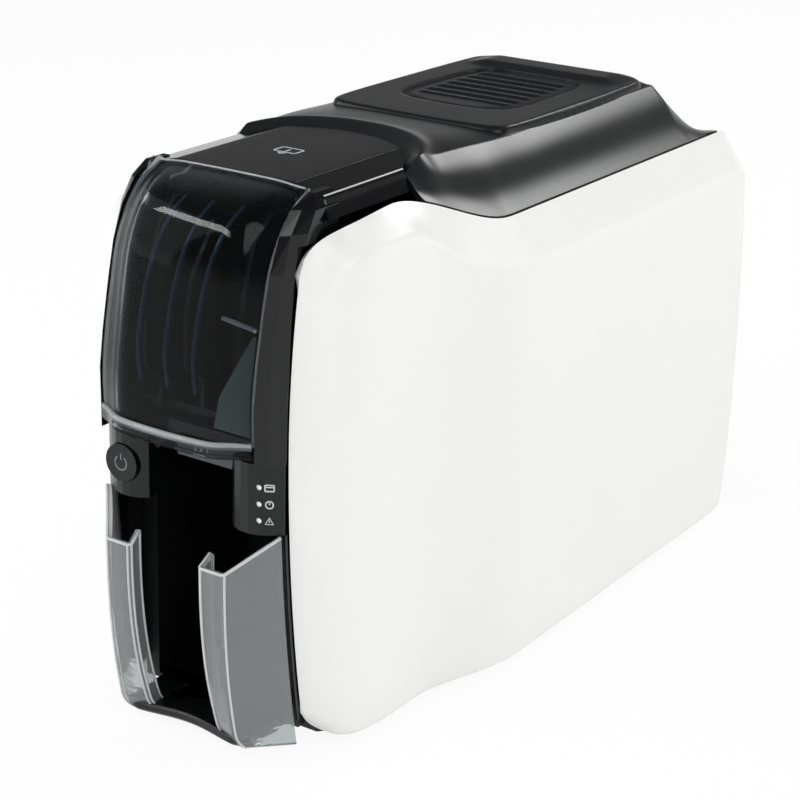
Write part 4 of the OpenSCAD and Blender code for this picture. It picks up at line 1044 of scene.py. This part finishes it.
@dataclass(frozen=True)
class Mark:
    """A flat printed symbol made of strokes in its own plane."""

    name: str
    strokes: tuple[Stroke, ...]
    origin: Point
    across: Point = (1, 0, 0)
    up: Point = (0, 0, 1)
    finish: Finish = MARK
    body: Body = Body.PRINTER
    lift: float = 0.02
    thick: float = 0.12

    def build(self) -> None:
        """Makes the strokes as one thin raised piece."""
        axes = np.array([self.across, self.up], float)
        axes /= np.linalg.norm(axes, axis=1, keepdims=True)
        normal = np.cross(*axes)
        verts = np.empty((0, 3))
        faces: list[list[int]] = []
        for stroke in self.strokes:
            flat = np.array(self.origin) + stroke.ribbon() @ axes
            top = quads(2, len(flat) // 2) + len(verts) + len(flat)
            faces += [*top.tolist(), *(top[:, ::-1] - len(flat)).tolist()]
            verts = np.concatenate([verts, flat + self.lift * normal, flat + self.thick * normal])
        make_piece(self.name, (verts, faces), self.finish, self.body, smooth=False)


@dataclass
class Symbols:
    """Plain symbols on the hopper top, the slot block and the control faces."""

    top_z: float = 233.92
    stroke_w: float = 0.8
    facing: Point = (0.86, 0.51, 0.0)
    heights: tuple[float, ...] = (120.0, 113.0, 106.0)

    def build(self) -> None:
        """Makes all the symbols."""
        w = self.stroke_w
        Mark("hopper_symbol",
             (Stroke(card_outline(10.5, 7, 1.2), w), Stroke([(0, 1.2), (0, -6.2)], w),
              Stroke([(-1.8, -4.6), (0, -6.6), (1.8, -4.6)], w)), (-2, 62, self.top_z), up=(0, 1, 0)).build()
        Mark("slot_symbol", (Stroke(card_outline(5.6, 3.6, 0.7), 0.5), Stroke([(0, 0.6), (0, -3.2)], 0.5)),
             (2, -0.02, 125.6)).build()
        Mark("power_symbol", (Stroke(arc(0, 0, 3.0, 125, 415, 30), 0.7), Stroke([(0, 1.2), (0, 4.0)], 0.7)),
             (-32, -9.22, 114), finish=DIM_MARK, body=Body.POWER).build()
        warning = [(-1.6, -1.2), (0, 1.5), (1.6, -1.2), (-1.6, -1.2)]
        shapes = ((Stroke(card_outline(3.6, 2.6, 0.4), 0.55), Stroke([(-1.8, 0.4), (1.8, 0.4)], 0.5)),
                  (Stroke(arc(0, 0, 1.5, 0, 360, 20), 0.55), Stroke([(0, 0), (0, 1.0)], 0.5)),
                  (Stroke(warning, 0.55), Stroke([(0, -0.5), (0, 0.5)], 0.4)))
        for k, (shape, z) in enumerate(zip(shapes, self.heights)):
            Mark(f"status_symbol_{k}", shape, (39.9, -5.35, z), self.facing).build()


@dataclass(frozen=True)
class Lamp:
    """A soft rectangular lamp that is turned to the printer."""

    name: str
    place: Point
    width: float
    height: float
    power: float
    aim: Point = (0.0, 0.0, 0.1)

    def build(self) -> None:
        """Makes the lamp."""
        data = bpy.data.lights.new(self.name, "AREA")
        data.shape = "RECTANGLE"
        data.size, data.size_y, data.energy = self.width, self.height, self.power
        lamp = bpy.data.objects.new(self.name, data)
        lamp.location = self.place
        lamp.rotation_euler = (Vector(self.aim) - Vector(self.place)).to_track_quat("-Z", "Y").to_euler()
        bpy.context.scene.collection.objects.link(lamp)


@dataclass
class Studio:
    """Floor, world light, lamps and the camera."""

    eye: Point = (0.493, -0.768, 0.440)
    azimuth: float = 33.19
    elevation: float = 20.55
    roll: float = 1.65
    focal_px: float = 2118.0
    frame_px: float = 800.0
    sensor_mm: float = 36.0
    floor_half: float = 3.0
    floor_grey: float = 0.95
    horizon: float = 0.92
    zenith: float = 0.36
    zenith_height: float = 0.42
    ceiling: float = 0.12
    ceiling_rise: Flat = (0.03, 0.22)
    floor_glow: float = 0.92
    lamps: list[Lamp] = field(default_factory=lambda: [
        Lamp("key_light", (1.5, -1.1, 1.5), 1.2, 1.2, 14.0),
        Lamp("fill_light", (-1.7, -1.2, 1.1), 1.6, 1.6, 7.0),
        Lamp("rear_light", (0.42, 1.52, 1.4), 0.8, 0.6, 14.0),
        Lamp("flank_light", (1.5, 0.95, 0.62), 0.8, 0.35, 2.4),
        Lamp("strip_light", (-0.7, -0.93, 1.11), 0.9, 0.15, 7.0),
        Lamp("edge_light", (-1.2, -0.2, 0.85), 0.22, 0.22, 1.6),
    ])

    def camera(self) -> None:
        """Places the camera at the solved angle."""
        a, e, r = (math.radians(v) for v in (self.azimuth, self.elevation, self.roll))
        ahead = Vector((-math.sin(a) * math.cos(e), math.cos(a) * math.cos(e), -math.sin(e)))
        right = ahead.cross(Vector((0, 0, 1))).normalized()
        up = right.cross(ahead)
        side = right * math.cos(r) + up * math.sin(r)
        top = up * math.cos(r) - right * math.sin(r)
        data = bpy.data.cameras.new("studio_camera")
        data.sensor_width = self.sensor_mm
        data.lens = self.sensor_mm * self.focal_px / self.frame_px
        data.clip_start = 0.02
        cam = bpy.data.objects.new("studio_camera", data)
        turn = Matrix((side, top, -ahead)).transposed().to_4x4()
        cam.matrix_world = Matrix.Translation(Vector(self.eye)) @ turn
        bpy.context.scene.collection.objects.link(cam)
        bpy.context.scene.camera = cam

    def floor(self) -> None:
        """Lays a pale floor, which camera, mirror and glass rays see nearly as bright as the background."""
        h = self.floor_half
        mesh = bpy.data.meshes.new("floor")
        mesh.from_pydata([(-h, -h, 0), (h, -h, 0), (h, h, 0), (-h, h, 0)], [], [(0, 1, 2, 3)])
        sheet = bpy.data.objects.new("floor", mesh)
        made = bpy.data.materials.new("floor_pale")
        tree = blank_tree(made)
        grey = self.floor_grey
        out = add_node(tree, "ShaderNodeOutputMaterial", (4, 0))
        blend = add_node(tree, "ShaderNodeMixShader", (3, 0))
        shader = add_node(tree, "ShaderNodeBsdfDiffuse", (2, 0), Color=(grey, grey, grey, 1))
        bright = add_node(tree, "ShaderNodeEmission", (2, 1), Color=(1, 1, 1, 1), Strength=1.0)
        path = add_node(tree, "ShaderNodeLightPath", (0, 0))
        mirrored = add_node(tree, "ShaderNodeMath", (0, 1), operation="MAXIMUM")
        seen = add_node(tree, "ShaderNodeMath", (1, 1), operation="MAXIMUM")
        share = add_node(tree, "ShaderNodeMath", (1, 0), operation="MULTIPLY")
        share.inputs[1].default_value = self.floor_glow
        join(tree, (path, "Is Glossy Ray", mirrored, 0), (path, "Is Transmission Ray", mirrored, 1),
             (path, "Is Camera Ray", seen, 0), (mirrored, 0, seen, 1), (seen, 0, share, 0),
             (share, 0, blend, 0), (shader, 0, blend, 1), (bright, 0, blend, 2), (blend, 0, out, 0))
        mesh.materials.append(made)
        bpy.context.scene.collection.objects.link(sheet)

    def sky(self) -> None:
        """Sets the world: white to the camera and through glass, softer from above elsewhere."""
        world = bpy.data.worlds.new("studio_world")
        bpy.context.scene.world = world
        tree = blank_tree(world)
        low, high = self.ceiling_rise
        out = add_node(tree, "ShaderNodeOutputWorld", (6, 0))
        place = add_node(tree, "ShaderNodeTexCoord", (0, 2))
        split = add_node(tree, "ShaderNodeSeparateXYZ", (1, 2))
        path = add_node(tree, "ShaderNodeLightPath", (0, 0))
        height = add_node(tree, "ShaderNodeMapRange", (2, 2), From_Max=self.zenith_height,
                          To_Min=self.horizon, To_Max=self.zenith)
        mirror = add_node(tree, "ShaderNodeMapRange", (2, 3), From_Min=low, From_Max=high, To_Min=1.0,
                          To_Max=self.ceiling)
        level = add_node(tree, "ShaderNodeMix", (3, 2), data_type="FLOAT")
        shade = add_node(tree, "ShaderNodeBackground", (3, 0), Color=(1, 1, 1, 1))
        white = add_node(tree, "ShaderNodeBackground", (3, 1), Color=(1, 1, 1, 1), Strength=1.0)
        seen = add_node(tree, "ShaderNodeMath", (1, 0), operation="MAXIMUM")
        blend = add_node(tree, "ShaderNodeMixShader", (5, 0))
        join(tree, (place, "Generated", split, 0), (split, "Z", height, "Value"),
             (split, "Z", mirror, "Value"), (path, "Is Glossy Ray", level, 0), (height, "Result", level, 2),
             (mirror, "Result", level, 3), (level, 0, shade, "Strength"), (path, "Is Camera Ray", seen, 0),
             (path, "Is Transmission Ray", seen, 1), (seen, 0, blend, 0), (shade, 0, blend, 1),
             (white, 0, blend, 2), (blend, 0, out, 0))

    def build(self) -> None:
        """Builds the whole studio."""
        self.floor()
        self.sky()
        for lamp in self.lamps:
            lamp.build()
        self.camera()
        bpy.context.scene.view_settings.view_transform = "Standard"


def dress_nodes(frame: dict) -> None:
    """Gives every CAD node its finish.
    """
    for name, node in frame["nodes"].items():
        finish = NODE_FINISH[name]
        made = finish.material()
        if not node.material_slots:
            node.data.materials.append(made)
        for slot in node.material_slots:
            slot.material = made
        if name in SOFT_EDGES:
            edge = node.modifiers.new("soft_edge", "BEVEL")
            edge.width = SOFT_EDGES[name] * MM
            edge.segments = 2
            edge.limit_method = "ANGLE"
            edge.angle_limit = math.radians(35)
        LOG.info("%s: %s", name, finish.name)


def main() -> None:
    """Builds the dressed printer in order."""
    logging.basicConfig(level=logging.INFO, format="%(message)s")
    for old in list(bpy.data.objects):
        bpy.data.objects.remove(old)
    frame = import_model()
    dress_nodes(frame)
    panels = SidePanels()
    dressing = (panels, Lid(panels), LidDeck(), ReleasePad(), HopperTop(), HopperCover(), HopperFins(),
                BaseApron(), StackGuide(), *SPRINGS, WingEdges(panels), Symbols(), Studio())
    for part in dressing:
        part.build()


if __name__ == "__main__":
    main()
